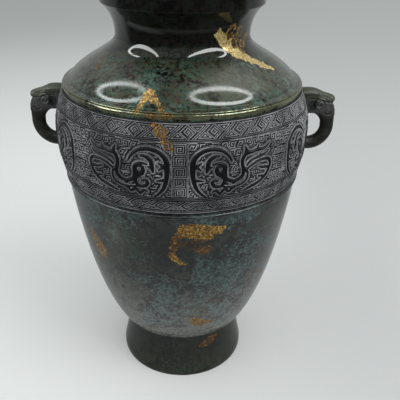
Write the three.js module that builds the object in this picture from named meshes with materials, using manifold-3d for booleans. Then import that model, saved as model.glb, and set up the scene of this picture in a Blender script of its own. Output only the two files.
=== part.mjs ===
// Bronze vase with a relief band between two mouldings and two beast-head ring handles.
// Millimetres, +Z up, origin at the centre of the circle that the foot stands on.
// The body is five castings. Each has a skirt that laps down inside the casting below it,
// and the joints are brazed. The handles are riveted through the wall of the relief band.

import * as THREE from 'three';
import { mergeVertices } from 'three/addons/utils/BufferGeometryUtils.js';
import Module from 'manifold-3d';

const wasm = await Module();
wasm.setup();

// Castings in general
const wallThickness = 3.0;
const lapClearance = 0.3;       // round a skirt, in the socket that it laps into
const skirtThickness = 2.2;
const skirtDepth = 3.0;
const turnSegments = 48;        // flats round every turned casting

// Foot
const footHeight = 38.0;
const footBaseRadius = 47.6;
const footTopRadius = 41.8;
const footEdgeHeight = 3.5;     // upright edge at the bottom
const footRimWidth = 5.0;       // flat ring that the vase stands on
const footFlarePower = 1.3;     // 1 is a straight cone, more is more hollow

// Belly
const bellyHeight = 122.8;
const bellyHeelRadius = 4.0;    // rounding where the belly turns in over the foot
const bellyBaseRadius = 49.7;
const bellyTopRadius = 79.5;
const bellySwellRadius = 69.0;  // pull of the swelling curve, outwards
const bellySwellHeight = 34.8;  // pull of the swelling curve, above the foot
const bellyFloorThickness = 3.0;

// Relief band, a barrel that is widest above its middle
const bandHeight = 56.2;
const bandWidestHeight = 29.6;  // above the band's lower joint
const bandWidestRadius = 84.75;
const bandBottomRadius = 80.7;
const bandTopRadius = 78.5;

// Cast relief of the band. Its birds are drawn flat, and then bent round the barrel.
const reliefDepth = 0.7;            // from the barrel down to the ground of the relief
const groundStep = 8.0;             // greatest height of one flat of the ground
const ribSteps = 6;                 // flats up the barrel that the tops of the ribs follow
const flatRadius = 83.0;            // radius at which a length round the band is its length in the drawing
const birdMiddleRise = 29.05;       // above the band's lower joint
const birdAngles = [22.5, 67.5];    // degrees from the front; mirrored to the other three quarters
const columnHalfWidth = 4.1;        // to the uprights of the fret columns at the front and the back
const columnRib = 0.9;
const seatHalfWidth = 6.0;          // plain upright strip under each handle

// Ribs of one bird about its middle. Each point is across, up and half the width of the rib.
const birdRibs = [
  [[-3.4, 6.0, 0.4], [-8.0, 12.1, 0.9], [-15.5, 13.8, 0.9], [-22.3, 10.8, 1.0], [-24.9, 2.0, 1.2],
    [-23.4, -9.0, 0.9], [-17.2, -15.8, 0.4]],                       // crest
  [[-12.6, 4.4, 0.6], [-8.8, 1.8, 2.5], [-7.4, -6.4, 1.2]],         // head
  [[-6.2, -6.8, 0.9], [1.4, -6.2, 0.9], [4.5, -1.0, 0.9], [3.0, 5.8, 0.9], [6.0, 10.4, 0.9]],     // body
  [[6.6, 9.7, 0.9], [22.0, 11.4, 0.4]],                             // wing
  [[6.9, -0.8, 0.5], [13.5, 2.4, 0.8], [20.6, 1.4, 0.9], [22.9, -4.6, 1.0], [19.3, -11.6, 1.1],
    [7.0, -15.7, 0.4]],                                             // tail
];

// Mouldings at the band's two joints
const grooveDepth = 1.0;
const grooveHalfWidth = 0.8;
const lowerBeadHeight = 2.2;
const lowerBeadStand = 1.1;     // out from the belly
const upperBeadHeight = 3.6;
const beadStep = 0.6;           // where a bead drops to the plain surface

// Shoulder
const shoulderHeight = 26.0;
const shoulderShelfRadius = 74.0;   // where the dome leaves the bead
const shoulderPullRadius = 72.7;
const shoulderPullRise = 5.7;
const shoulderFallRadius = 53.0;
const shoulderFallDrop = 6.8;

// Neck and mouth
const neckHeight = 35.0;
const neckRootRadius = 46.8;
const neckWaistRadius = 43.4;
const neckWaistHeight = 12.0;
const lipRadius = 51.2;
const lipFaceHeight = 6.0;
const lipRounding = 3.5;
const flareStartDrop = 7.5;     // below the lip, where the flare begins to turn out

// Base plate, let in from above and soldered
const basePlateThickness = 2.5;
const solderLeg = 2.6;          // both legs of the solder fillet's section

// Handles, each one casting
const ringCentreOut = 1.65;         // beyond the widest part of the band
const ringCentreBelowJoint = 27.95; // below the band's upper joint
const ringRadius = 12.35;           // to the middle of the round bar
const ringBarRadius = 4.5;
const ringStretch = 1.06;           // the ring is a little taller than it is wide
const headThickness = 9.0;
const headEdge = 1.0;               // rounding round the head's sides
const headRise = 9.3;               // underside of the head above the ring's centre
const headHeight = 15.0;
const headReach = 13.4;             // beyond the ring's centre
const crestThickness = 11.0;
const crestEdge = 1.2;
const crestHeight = 4.6;
const crestOverlap = 0.8;           // how far the crest is let into the head
const knobRadius = 2.7;
const eyeRadius = 3.9;
const eyeRimWidth = 1.2;
const eyeStand = 0.7;
const eyeReach = 6.9;               // beyond the ring's centre
const eyeRise = 15.2;               // above the ring's centre
const seatGap = 0.3;                // between pieces that are pulled together by a rivet

// Rivets, washers and the bosses behind the handles
const rivetRadius = 2.0;
const rivetHeadRadius = 3.8;
const rivetHeadHeight = 1.6;
const rivetCrownRadius = 2.3;       // flat on top of the rounded head
const rivetRimHeight = 0.55;        // upright edge of the head
const rivetClearance = 0.3;
const rivetEngagement = 5.5;        // length in the handle
const washerRadius = 5.2;
const washerThickness = 1.2;
const bossRadius = 6.4;
const bossStand = 0.6;
const upperRivetRise = 17.0;        // above the ring's centre
const lowerRivetDrop = 13.1;        // below the ring's centre

// Heights of the joints between the castings
const footJoint = footHeight;
const bellyJoint = footJoint + bellyHeight;
const bandJoint = bellyJoint + bandHeight;
const neckJoint = bandJoint + shoulderHeight;
const mouthTop = neckJoint + neckHeight;
const ringCentreHeight = bandJoint - ringCentreBelowJoint;
const ringCentreRadius = bandWidestRadius + ringCentreOut;

const patinaGreen = { color: 0x2b3330, roughness: 0.32, metalness: 0.75 };
const patinaDark = { color: 0x1d1d1b, roughness: 0.42, metalness: 0.75 };
const reliefGrey = { color: 0x4b4b4c, roughness: 0.62, metalness: 0.6 };
const bareBronze = { color: 0x8a6a3a, roughness: 0.45, metalness: 0.9 };
const solderGrey = { color: 0x8d8f8c, roughness: 0.5, metalness: 0.8 };

// Points of an outline are pairs: radius from the axis, height.

const curvePoints = (curve, steps) => curve.getPoints(steps).map((p) => [p.x, p.y]);
const vector = ([radius, height]) => new THREE.Vector2(radius, height);

function swellingCurve(start, pull, end, steps) {
  return curvePoints(new THREE.QuadraticBezierCurve(vector(start), vector(pull), vector(end)), steps);
}

function doubleCurve(start, firstPull, secondPull, end, steps) {
  const curve = new THREE.CubicBezierCurve(vector(start), vector(firstPull), vector(secondPull), vector(end));
  return curvePoints(curve, steps);
}

function arcPoints([radius, height], arcRadius, fromAngle, toAngle, steps) {
  const curve = new THREE.EllipseCurve(radius, height, arcRadius, arcRadius, fromAngle, toAngle);
  return curvePoints(curve, steps);
}

// The inside of a wall: an outline that runs upwards, moved towards the axis along its normals.
function inset(points, distance) {
  return points.map(([radius, height], i) => {
    const before = points[Math.max(i - 1, 0)];
    const after = points[Math.min(i + 1, points.length - 1)];
    const run = vector(after).sub(vector(before)).normalize();
    return [radius - run.y * distance, height + run.x * distance];
  });
}

// A solid of revolution about +Z from a closed outline that goes up on its outer side.
function turned(outline, segments = turnSegments) {
  const closed = [...outline, outline[0]].map(vector);
  return new THREE.LatheGeometry(closed, segments).rotateX(Math.PI / 2);
}

// A disc or cylinder about +Z, from its lower to its upper height.
function turnedDisc(radius, low, high, segments) {
  const outline = [[0, low], [radius, low], [radius, high], [0, high]].map(vector);
  return new THREE.LatheGeometry(outline, segments).rotateX(Math.PI / 2);
}

function turnedRing(innerRadius, outerRadius, low, high, segments) {
  return turned([[innerRadius, low], [outerRadius, low], [outerRadius, high], [innerRadius, high]], segments);
}

// One casting of the body. wall is the smooth run of the outer side that the inside follows.
function sectionOutline({ outer, wall, low, high, skirtRadius, socketRadius }) {
  const inner = inset(wall, wallThickness).filter(
    ([, height]) => height > low + wallThickness && height < high - skirtDepth / 3
  );
  return [
    [skirtRadius, low],
    ...outer,
    [socketRadius, high],
    ...inner.reverse(),
    [skirtRadius - skirtThickness, low - skirtDepth],
    [skirtRadius, low - skirtDepth],
  ];
}

function toSolid(geometry) {
  const bare = geometry.clone();
  bare.deleteAttribute('normal');
  bare.deleteAttribute('uv');
  const merged = mergeVertices(bare);
  return new wasm.Manifold(new wasm.Mesh({
    numProp: 3,
    vertProperties: new Float32Array(merged.attributes.position.array),
    triVerts: new Uint32Array(merged.index.array),
  }));
}

function toGeometry(solid) {
  const { vertProperties, triVerts } = solid.getMesh();
  const geometry = new THREE.BufferGeometry();
  geometry.setAttribute('position', new THREE.BufferAttribute(new Float32Array(vertProperties), 3));
  geometry.setIndex(new THREE.BufferAttribute(new Uint32Array(triVerts), 1));
  geometry.computeVertexNormals();
  return geometry;
}

function piece(name, geometry, finish) {
  const mesh = new THREE.Mesh(geometry, new THREE.MeshStandardMaterial(finish));
  mesh.name = name;
  return mesh;
}

// Radius of the band's smooth barrel at a height above its lower joint.
function barrelRadius(rise) {
  const above = rise > bandWidestHeight;
  const edgeRadius = above ? bandTopRadius : bandBottomRadius;
  const span = above ? bandHeight - bandWidestHeight : bandWidestHeight;
  const share = (rise - bandWidestHeight) / span;
  return bandWidestRadius - (bandWidestRadius - edgeRadius) * share * share;
}

function barrelPoints(fromRise, toRise, steps) {
  return Array.from({ length: steps + 1 }, (_, i) => {
    const rise = fromRise + ((toRise - fromRise) * i) / steps;
    return [barrelRadius(rise), bellyJoint + rise];
  });
}

// Sockets, each as wide as the wall of its casting allows
const footSocket = footTopRadius - wallThickness;
const bellySocket = bellyTopRadius - wallThickness;
const bandSocket = bandTopRadius - grooveDepth - wallThickness;
const shoulderSocket = neckRootRadius - wallThickness;
const lowerGrooveRadius = bandBottomRadius - grooveDepth;
const upperGrooveRadius = bandTopRadius - grooveDepth;

// Plain rails round the band, from and to a height above its lower joint
const reliefRails = [
  [grooveHalfWidth, 3.0],
  [10.3, 12.2],
  [45.8, 47.4],
  [54.6, bandHeight - grooveHalfWidth],
];

// Foot

function footSide(steps) {
  return Array.from({ length: steps + 1 }, (_, i) => {
    const share = i / steps;
    const radius = footTopRadius + (footBaseRadius - footTopRadius) * (1 - share) ** footFlarePower;
    return [radius, footEdgeHeight + (footHeight - footEdgeHeight) * share];
  });
}

function makeFoot() {
  const rimInside = footBaseRadius - footRimWidth;
  const inner = inset(footSide(4), wallThickness).filter(
    ([radius, height]) => radius < rimInside && height > footEdgeHeight && height < footHeight - skirtDepth
  );
  return turned([
    [rimInside, 0],
    [footBaseRadius, 0],
    ...footSide(7),
    [footSocket, footJoint],
    ...inner.reverse(),
    [rimInside, footEdgeHeight],
  ]);
}

// Belly

const bellySkirtRadius = footSocket - lapClearance;
const bellySkirtInside = bellySkirtRadius - skirtThickness;
const bellyFloor = footJoint + bellyFloorThickness;
const bellyRimBase = bellyJoint - grooveHalfWidth - lowerBeadHeight - beadStep;
const heelCentre = [bellyBaseRadius - bellyHeelRadius, footJoint + bellyHeelRadius];
const heelPull = [bellySwellRadius - heelCentre[0], footJoint + bellySwellHeight - heelCentre[1]];
const heelEndAngle = Math.atan2(heelPull[1], heelPull[0]) - Math.PI / 2;
const heelEnd = arcPoints(heelCentre, bellyHeelRadius, -Math.PI / 2, heelEndAngle, 1)[1];

function bellySide(steps) {
  const pull = [bellySwellRadius, footJoint + bellySwellHeight];
  return swellingCurve(heelEnd, pull, [bellyTopRadius, bellyRimBase], steps);
}

// Pocket of the base plate: as wide as the inside of the belly just above its floor
const pocketRadius = heelEnd[0] - wallThickness;

function makeBelly() {
  const beadRadius = bellyTopRadius + lowerBeadStand;
  const beadTop = bellyJoint - grooveHalfWidth;
  const inner = inset(bellySide(8), wallThickness).filter(
    ([radius, height]) => radius > pocketRadius && height > bellyFloor + wallThickness
  );
  return turned([
    [bellySkirtRadius, footJoint],
    ...arcPoints(heelCentre, bellyHeelRadius, -Math.PI / 2, heelEndAngle, 3),
    ...bellySide(11).slice(1),
    [beadRadius, bellyRimBase + beadStep],
    [beadRadius, beadTop],
    [lowerGrooveRadius, beadTop],
    [lowerGrooveRadius, bellyJoint],
    [bellySocket, bellyJoint],
    ...inner.reverse(),
    [pocketRadius, bellyFloor + basePlateThickness],
    [pocketRadius, bellyFloor],
    [bellySkirtInside, bellyFloor],
    [bellySkirtInside, footJoint - skirtDepth],
    [bellySkirtRadius, footJoint - skirtDepth],
  ]);
}

function makeBasePlate() {
  const low = bellyFloor;
  return turnedDisc(pocketRadius - lapClearance, low, low + basePlateThickness, turnSegments);
}

function makeBaseSolder() {
  const outside = pocketRadius - lapClearance;
  const low = bellyFloor + basePlateThickness;
  return turned([[outside - solderLeg, low], [outside, low], [outside, low + solderLeg]]);
}

// Relief band

// The outer side of the band: its rails stand on the barrel, and the ground between them is sunk.
function reliefSide() {
  const ground = reliefRails.slice(1).map(([nextLow], i) => {
    const high = reliefRails[i][1];
    const steps = Math.ceil((nextLow - high) / groundStep);
    return barrelPoints(high, nextLow, steps).map(([radius, height]) => [radius - reliefDepth, height]);
  });
  return reliefRails.flatMap(([low, high], i) => [...barrelPoints(low, high, 1), ...(ground[i] ?? [])]);
}

function bandShell() {
  const skirtRadius = bellySocket - lapClearance;
  const low = bellyJoint + grooveHalfWidth;
  const high = bandJoint - grooveHalfWidth;
  return turned(sectionOutline({
    outer: [
      [lowerGrooveRadius, bellyJoint],
      [lowerGrooveRadius, low],
      ...reliefSide(),
      [upperGrooveRadius, high],
      [upperGrooveRadius, bandJoint],
    ],
    wall: barrelPoints(grooveHalfWidth, bandHeight - grooveHalfWidth, 8),
    low: bellyJoint,
    high: bandJoint,
    skirtRadius,
    socketRadius: bandSocket,
  }));
}

// Distances from the axis at a rivet's height
function rivetStation(height) {
  const rise = height - bellyJoint;
  const flat = Math.cos(Math.PI / turnSegments);
  const narrowest = Math.min(barrelRadius(rise - bossRadius), barrelRadius(rise + bossRadius));
  const bossFace = (narrowest - wallThickness) * flat - bossStand;
  const washerFace = bossFace - seatGap - washerThickness;
  const headFace = washerFace - seatGap;
  const rivetEnd = barrelRadius(rise) + seatGap + rivetEngagement;
  return { height, bossFace, washerFace, headFace, rivetEnd };
}

const rivetStations = {
  upper: rivetStation(ringCentreHeight + upperRivetRise),
  lower: rivetStation(ringCentreHeight - lowerRivetDrop),
};

// A cylinder along +X at a height
function crossCylinder(radius, from, to, height, segments) {
  return turnedDisc(radius, from, to, segments).rotateY(Math.PI / 2).translate(0, 0, height);
}

// The whole space inside a barrel that is larger than the band's own by an offset
function barrelCore(offset, steps = 12) {
  const side = barrelPoints(0, bandHeight, steps).map(([radius, height]) => [radius + offset, height]);
  const outline = [[0, bellyJoint], ...side, [0, bandJoint]].map(vector);
  return toSolid(new THREE.LatheGeometry(outline, turnSegments).rotateX(Math.PI / 2));
}

// A tapering rib of the drawing, as a prism that stands through the wall at the front of the band
function reliefRib(run) {
  const sides = [-1, 1].map((side) => run.map(([across, up, halfWidth], i) => {
    const before = run[Math.max(i - 1, 0)];
    const after = run[Math.min(i + 1, run.length - 1)];
    const ahead = new THREE.Vector2(after[0] - before[0], after[1] - before[1]).normalize();
    const bent = bandWidestRadius * Math.sin((across - side * ahead.y * halfWidth) / flatRadius);
    return new THREE.Vector2(bent, up + side * ahead.x * halfWidth);
  }));
  const shape = new THREE.Shape([...sides[0], ...sides[1].reverse()]);
  const prism = new THREE.ExtrudeGeometry(shape, { depth: bandWidestRadius, bevelEnabled: false, steps: 1 });
  return toSolid(prism.rotateX(Math.PI / 2).translate(0, -bandWidestRadius / 2, bellyJoint + birdMiddleRise));
}

// Bars right through the band, for the handle seats and for the uprights of the fret columns
function crossBar(width, depth, offset, low, high) {
  const bar = new THREE.BoxGeometry(width, depth, high - low);
  return toSolid(bar.translate(offset, 0, bellyJoint + (low + high) / 2));
}

function reliefRibs() {
  const [, lowRail, highRail, topRail] = reliefRails.map(([low, high]) => (low + high) / 2);
  const through = 3 * bandWidestRadius;
  let quarter = crossBar(columnRib, through, columnHalfWidth, lowRail, highRail);
  for (const run of birdRibs) {
    const rib = reliefRib(run);
    for (const angle of birdAngles) {
      quarter = quarter.add(rib.rotate([0, 0, angle]));
    }
  }
  const half = quarter.add(quarter.mirror([1, 0, 0]));
  const seats = crossBar(through, 2 * seatHalfWidth, 0, lowRail, topRail);
  return half.add(half.mirror([0, 1, 0])).intersect(barrelCore(0, ribSteps)).add(seats);
}

function makeBand() {
  const wallMiddle = barrelCore(-wallThickness / 2);
  const relief = reliefRibs().intersect(barrelCore(0)).subtract(wallMiddle);
  let band = toSolid(bandShell()).add(relief);
  for (const side of [0, Math.PI]) {
    for (const { height, bossFace, rivetEnd } of Object.values(rivetStations)) {
      const boss = crossCylinder(bossRadius, bossFace, rivetEnd, height, 20).rotateZ(side);
      const hole = crossCylinder(rivetRadius + rivetClearance, bossFace - bossStand, rivetEnd, height, 16);
      band = band.add(toSolid(boss).intersect(wallMiddle)).subtract(toSolid(hole.rotateZ(side)));
    }
  }
  return toGeometry(band);
}

// Shoulder, with the upper bead at its foot

function shoulderSide(steps) {
  const shelf = bandJoint + grooveHalfWidth + upperBeadHeight + beadStep;
  return doubleCurve(
    [shoulderShelfRadius, shelf],
    [shoulderPullRadius, shelf + shoulderPullRise],
    [shoulderFallRadius, neckJoint - shoulderFallDrop],
    [neckRootRadius, neckJoint],
    steps
  );
}

function makeShoulder() {
  const beadLow = bandJoint + grooveHalfWidth;
  const beadHigh = beadLow + upperBeadHeight;
  return turned(sectionOutline({
    outer: [
      [upperGrooveRadius, bandJoint],
      [upperGrooveRadius, beadLow],
      [barrelRadius(beadLow - bellyJoint), beadLow],
      [barrelRadius(beadHigh - bellyJoint), beadHigh],
      ...shoulderSide(9),
    ],
    wall: shoulderSide(6),
    low: bandJoint,
    high: neckJoint,
    skirtRadius: bandSocket - lapClearance,
    socketRadius: shoulderSocket,
  }));
}

// Neck with its flared mouth

function neckSide(steps) {
  const waist = [neckWaistRadius, neckJoint + neckWaistHeight];
  const rootSlope = (shoulderFallRadius - neckRootRadius) / shoulderFallDrop;
  const rootPull = [neckWaistRadius, neckJoint + (neckRootRadius - neckWaistRadius) / rootSlope];
  const lipLow = [lipRadius, mouthTop - lipRounding - lipFaceHeight];
  const flarePull = [neckWaistRadius, lipLow[1] - flareStartDrop];
  const root = swellingCurve([neckRootRadius, neckJoint], rootPull, waist, steps);
  const flare = swellingCurve(waist, flarePull, lipLow, steps);
  return [...root, ...flare.slice(1)];
}

function makeNeck() {
  const side = neckSide(5);
  const roundingCentre = [lipRadius - lipRounding, mouthTop - lipRounding];
  const inner = inset(neckSide(4), wallThickness).filter(
    ([, height]) => height > neckJoint + wallThickness
  );
  const skirtRadius = shoulderSocket - lapClearance;
  return turned([
    [skirtRadius, neckJoint],
    ...side,
    ...arcPoints(roundingCentre, lipRounding, 0, Math.PI / 2, 3),
    [lipRadius - lipRounding - wallThickness / 2, mouthTop],
    ...inner.reverse(),
    [skirtRadius - skirtThickness, neckJoint - skirtDepth],
    [skirtRadius, neckJoint - skirtDepth],
  ]);
}

// Handles. They are drawn at +X; across, up and along are measured from the ring's centre.

// A plate of an outline in the X-Z plane, centred on Y = 0, with a rounded edge.
function plate(shape, thickness, edge) {
  const geometry = new THREE.ExtrudeGeometry(shape, {
    depth: thickness - 2 * edge,
    bevelSize: edge,
    bevelOffset: -edge,
    bevelThickness: edge,
    bevelSegments: 2,
    curveSegments: 5,
  });
  return geometry.translate(0, 0, edge - thickness / 2).rotateX(Math.PI / 2);
}

function headShape(rootAcross) {
  const top = headRise + headHeight - crestHeight + crestOverlap;
  const shape = new THREE.Shape();
  shape.moveTo(rootAcross, headRise);
  shape.lineTo(ringRadius - ringBarRadius, headRise);
  shape.lineTo(ringRadius + ringBarRadius, ringBarRadius);
  shape.quadraticCurveTo(headReach + ringBarRadius, headRise, headReach, top - knobRadius);
  shape.lineTo(headReach - knobRadius, top);
  shape.lineTo(rootAcross, top);
  return shape;
}

// The crest lies on the head like a brow and turns down to the knob at its end.
function crestShape(rootAcross) {
  const top = headRise + headHeight;
  const low = top - crestHeight;
  const shape = new THREE.Shape();
  shape.moveTo(rootAcross, low);
  shape.lineTo(0, low);
  shape.quadraticCurveTo(headReach / 3, low + crestHeight / 2, headReach - knobRadius, low - crestHeight / 2);
  shape.lineTo(headReach, low);
  shape.quadraticCurveTo(headReach / 2, top - crestOverlap, 0, top);
  shape.lineTo(rootAcross, top);
  return shape;
}

function makeHandle() {
  const rootAcross = -2 * wallThickness;
  const ring = new THREE.TorusGeometry(ringRadius, ringBarRadius, 10, 28).scale(1, ringStretch, 1);
  const knobHeight = headRise + headHeight - crestHeight;
  const knob = new THREE.SphereGeometry(knobRadius, 12, 8);
  let handle = toSolid(ring.rotateX(Math.PI / 2))
    .add(toSolid(plate(headShape(rootAcross), headThickness, headEdge)))
    .add(toSolid(plate(crestShape(rootAcross), crestThickness, crestEdge)))
    .add(toSolid(knob.translate(headReach, 0, knobHeight)));
  for (const side of [-1, 1]) {
    const eye = turnedRing(eyeRadius - eyeRimWidth, eyeRadius, 0, headThickness / 2 + eyeStand, 18);
    eye.rotateX((-side * Math.PI) / 2).translate(eyeReach, 0, eyeRise);
    handle = handle.add(toSolid(eye));
  }
  handle = handle.translate([ringCentreRadius, 0, ringCentreHeight]);

  handle = handle.subtract(barrelCore(seatGap));
  for (const { height, bossFace, rivetEnd } of Object.values(rivetStations)) {
    const hole = crossCylinder(rivetRadius + rivetClearance, bossFace, rivetEnd + rivetClearance, height, 16);
    handle = handle.subtract(toSolid(hole));
  }
  return toGeometry(handle);
}

function makeRivet({ height, headFace, rivetEnd }) {
  const outline = [
    [0, headFace - rivetHeadHeight],
    [rivetCrownRadius, headFace - rivetHeadHeight],
    [rivetHeadRadius, headFace - rivetRimHeight],
    [rivetHeadRadius, headFace],
    [rivetRadius, headFace],
    [rivetRadius, rivetEnd],
    [0, rivetEnd],
  ];
  const rivet = new THREE.LatheGeometry(outline.map(vector), 12).rotateX(Math.PI / 2);
  return rivet.rotateY(Math.PI / 2).translate(0, 0, height);
}

function makeWasher({ height, bossFace, washerFace }) {
  const hole = rivetRadius + rivetClearance;
  const washer = turnedRing(hole, washerRadius, washerFace, bossFace - seatGap, 16);
  return washer.rotateY(Math.PI / 2).translate(0, 0, height);
}

// One handle with its two rivets and washers, turned to its side of the vase
function handleGroup(side, turn) {
  const group = new THREE.Group();
  group.rotation.z = turn;
  group.add(piece(`${side}_handle`, makeHandle(), patinaDark));
  for (const [place, station] of Object.entries(rivetStations)) {
    group.add(piece(`${side}_${place}_rivet`, makeRivet(station), bareBronze));
    group.add(piece(`${side}_${place}_washer`, makeWasher(station), bareBronze));
  }
  return group;
}

const vase = new THREE.Group();
vase.add(piece('foot_ring', makeFoot(), patinaDark));
vase.add(piece('belly', makeBelly(), patinaGreen));
vase.add(piece('relief_band', makeBand(), reliefGrey));
vase.add(piece('shoulder', makeShoulder(), patinaGreen));
vase.add(piece('neck_and_mouth', makeNeck(), patinaGreen));
vase.add(piece('base_plate', makeBasePlate(), patinaDark));
vase.add(piece('base_solder', makeBaseSolder(), solderGrey));
vase.add(handleGroup('right', 0));
vase.add(handleGroup('left', Math.PI));

export default vase;
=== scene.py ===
"""Bronze flower vase: five turned castings, a relief band, two beast-head ring handles.

Heights and radii are in millimetres until a mesh is made, which is in metres.
An angle round the vase is measured from the front (-Y) towards the right handle (+X).
"""

import math

import bmesh
import bpy
import numpy as np
from mathutils import Matrix, Vector


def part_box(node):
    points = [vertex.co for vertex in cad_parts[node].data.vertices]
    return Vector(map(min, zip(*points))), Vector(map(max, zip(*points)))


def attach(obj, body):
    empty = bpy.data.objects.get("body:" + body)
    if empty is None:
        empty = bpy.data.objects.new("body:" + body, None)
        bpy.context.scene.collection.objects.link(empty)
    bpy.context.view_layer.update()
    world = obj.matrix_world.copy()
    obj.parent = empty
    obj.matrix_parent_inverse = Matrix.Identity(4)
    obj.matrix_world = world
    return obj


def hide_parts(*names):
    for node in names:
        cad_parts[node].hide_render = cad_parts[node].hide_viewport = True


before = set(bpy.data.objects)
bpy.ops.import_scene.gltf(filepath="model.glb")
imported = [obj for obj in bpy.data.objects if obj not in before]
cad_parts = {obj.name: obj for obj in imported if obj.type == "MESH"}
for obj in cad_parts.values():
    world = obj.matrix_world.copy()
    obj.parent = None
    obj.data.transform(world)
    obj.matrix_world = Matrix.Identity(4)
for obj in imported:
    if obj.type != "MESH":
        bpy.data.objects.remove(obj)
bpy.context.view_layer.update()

MM = 0.001
DEGREE = math.radians(1)
AROUND = 360                # facets round a plain turned casting
BAND_AROUND = 1800          # facets round the relief band
BAND_ROW = 0.3              # height of one row of the relief
EDGE_EASE = 0.35            # rounding of a cast and filed edge
CREASE = 38                 # from this angle on, in degrees, an edge shows as sharp

# Joint heights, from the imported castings
FOOT_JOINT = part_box("foot_ring")[1].z / MM
BELLY_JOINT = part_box("belly")[1].z / MM
BAND_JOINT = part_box("relief_band")[1].z / MM
NECK_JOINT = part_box("shoulder")[1].z / MM
MOUTH_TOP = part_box("neck_and_mouth")[1].z / MM

WALL = 3.0
LAP = 0.3                   # clearance round a skirt
SKIRT = 2.2                 # thickness of the skirt that laps into the casting below
SKIRT_DEPTH = 3.0

FOOT_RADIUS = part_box("foot_ring")[1].x / MM
FOOT_TOP_RADIUS = 41.8
FOOT_EDGE = 3.5             # height of the upright rim
FOOT_RIM = 5.0              # width of the ring that the foot stands on
FOOT_FLARE = 1.3            # power of the foot's hollow curve

BELLY_TOP_RADIUS = 79.5
BELLY_RIM_BASE = BELLY_JOINT - 3.6
BEAD_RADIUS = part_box("belly")[1].x / MM
HEEL_RADIUS = 4.0
HEEL_CENTRE = (45.7, FOOT_JOINT + HEEL_RADIUS)
BELLY_PULL = (69.0, FOOT_JOINT + 34.8)

BAND_HEIGHT = BAND_JOINT - BELLY_JOINT
WIDEST_RISE = 29.6          # of the barrel, above its lower joint
WIDEST_RADIUS = 84.75
BAND_BOTTOM_RADIUS = 80.7
BAND_TOP_RADIUS = 78.5
GROOVE = 0.8                # height of the groove on each side of a joint
GROOVE_DEPTH = 1.0

SHELF_RADIUS = 73.2
SHELF_RISE = 5.3            # top of the upper bead above the band
DOME_PULL = (72.56, 6.2)    # radius, and height above the shelf
FALL_RADIUS = 55.6
FALL_DROP = 6.4             # below the joint with the neck
NECK_TURN = (48.0, -1.1)    # where the dome turns up into the neck: radius, and height above the joint
NECK_PULL_RISE = 2.5
WAIST_RADIUS = 42.8
WAIST_RISE = 6.8            # above the joint with the shoulder
LIP_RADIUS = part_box("neck_and_mouth")[1].x / MM
LIP_ROUNDING = 3.5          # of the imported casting
LIP_EASE = 2.0              # of the dressed one
LIP_FACE = 6.0
FLARE_DROP = 7.2            # below the lip

RING_CENTRE_RADIUS = WIDEST_RADIUS + 1.65
RING_CENTRE_HEIGHT = BAND_JOINT - 27.95

CAMERA_PLACE = (0.01281, -0.35287, 0.31592)
CAMERA_TILT = 62.03         # degrees up from looking straight down
CAMERA_ROLL = 1.0
LENS = 48.6
SENSOR_WIDTH = 36.0
PICTURE_SIZE = 400          # pixels


def add_object(name, data):
    shape = bpy.data.objects.new(name, data)
    bpy.context.scene.collection.objects.link(shape)
    return shape


def mesh_of(name, builder):
    """The mesh that a bmesh holds. The bmesh is freed."""
    mesh = bpy.data.meshes.new(name)
    builder.to_mesh(mesh)
    builder.free()
    return mesh


def write_fields(mesh, fields):
    """Numbers on the points of a mesh that its finish reads."""
    for key, values in fields.items():
        field = mesh.attributes.new(key, "FLOAT", "POINT")
        field.data.foreach_set("value", values.ravel().astype(np.float32))


# Camera: where the photographer stood

def make_camera():
    data = bpy.data.cameras.new("camera")
    data.sensor_width = SENSOR_WIDTH
    data.lens = LENS
    camera = add_object("camera", data)
    tilt = Matrix.Rotation(CAMERA_TILT * DEGREE, 4, "X") @ Matrix.Rotation(CAMERA_ROLL * DEGREE, 4, "Z")
    camera.matrix_world = Matrix.Translation(CAMERA_PLACE) @ tilt
    bpy.context.scene.camera = camera


# Outlines: arrays of points (radius, height)

def bezier(pulls, steps):
    share = np.linspace(0.0, 1.0, steps + 1)[:, None]
    points = [np.array(pull, float)[None, :] for pull in pulls]
    while len(points) > 1:
        points = [(1 - share) * a + share * b for a, b in zip(points[:-1], points[1:])]
    return points[0]


def arc(centre, radius, start, end, steps, reach=None):
    """An arc between two angles in degrees. reach is its half width, where that isn't the radius."""
    angle = np.radians(np.linspace(start, end, steps + 1))
    return np.stack([centre[0] + (reach or radius) * np.cos(angle), centre[1] + radius * np.sin(angle)], 1)


def inner_side(side, low, high, least=0.0, most=math.inf):
    """Down the inside of a wall whose outer side runs upwards, within two heights and two radii."""
    run = np.gradient(side, axis=0)
    run /= np.linalg.norm(run, axis=1)[:, None]
    inner = side + WALL * np.stack([-run[:, 1], run[:, 0]], 1)
    radius, height = inner.T
    return inner[(height > low) & (height < high) & (radius > least) & (radius < most)][::-1]


def skirt(radius, joint):
    """The end of an outline: the skirt that laps into the casting below, up to the joint."""
    return [[radius - SKIRT, joint - SKIRT_DEPTH], [radius, joint - SKIRT_DEPTH], [radius, joint]]


def eased(outline):
    """Every sharp corner of a closed outline gets a small rounding, as cast and filed edges have."""
    outline = np.array(outline, float)
    rounded = []
    for before, here, after in zip(np.roll(outline, 1, 0), outline, np.roll(outline, -1, 0)):
        back, ahead = before - here, after - here
        reach_back, reach_ahead = np.linalg.norm(back), np.linalg.norm(ahead)
        turn = math.degrees(math.acos(np.clip(-(back @ ahead) / (reach_back * reach_ahead), -1, 1)))
        if turn < 18:
            rounded.append(here[None, :])
            continue
        cut = min(EDGE_EASE, 0.4 * reach_back, 0.4 * reach_ahead)
        start = here + back / reach_back * cut
        end = here + ahead / reach_ahead * cut
        rounded.append(bezier([start, here, end], 4))
    return np.concatenate(rounded)


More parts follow.
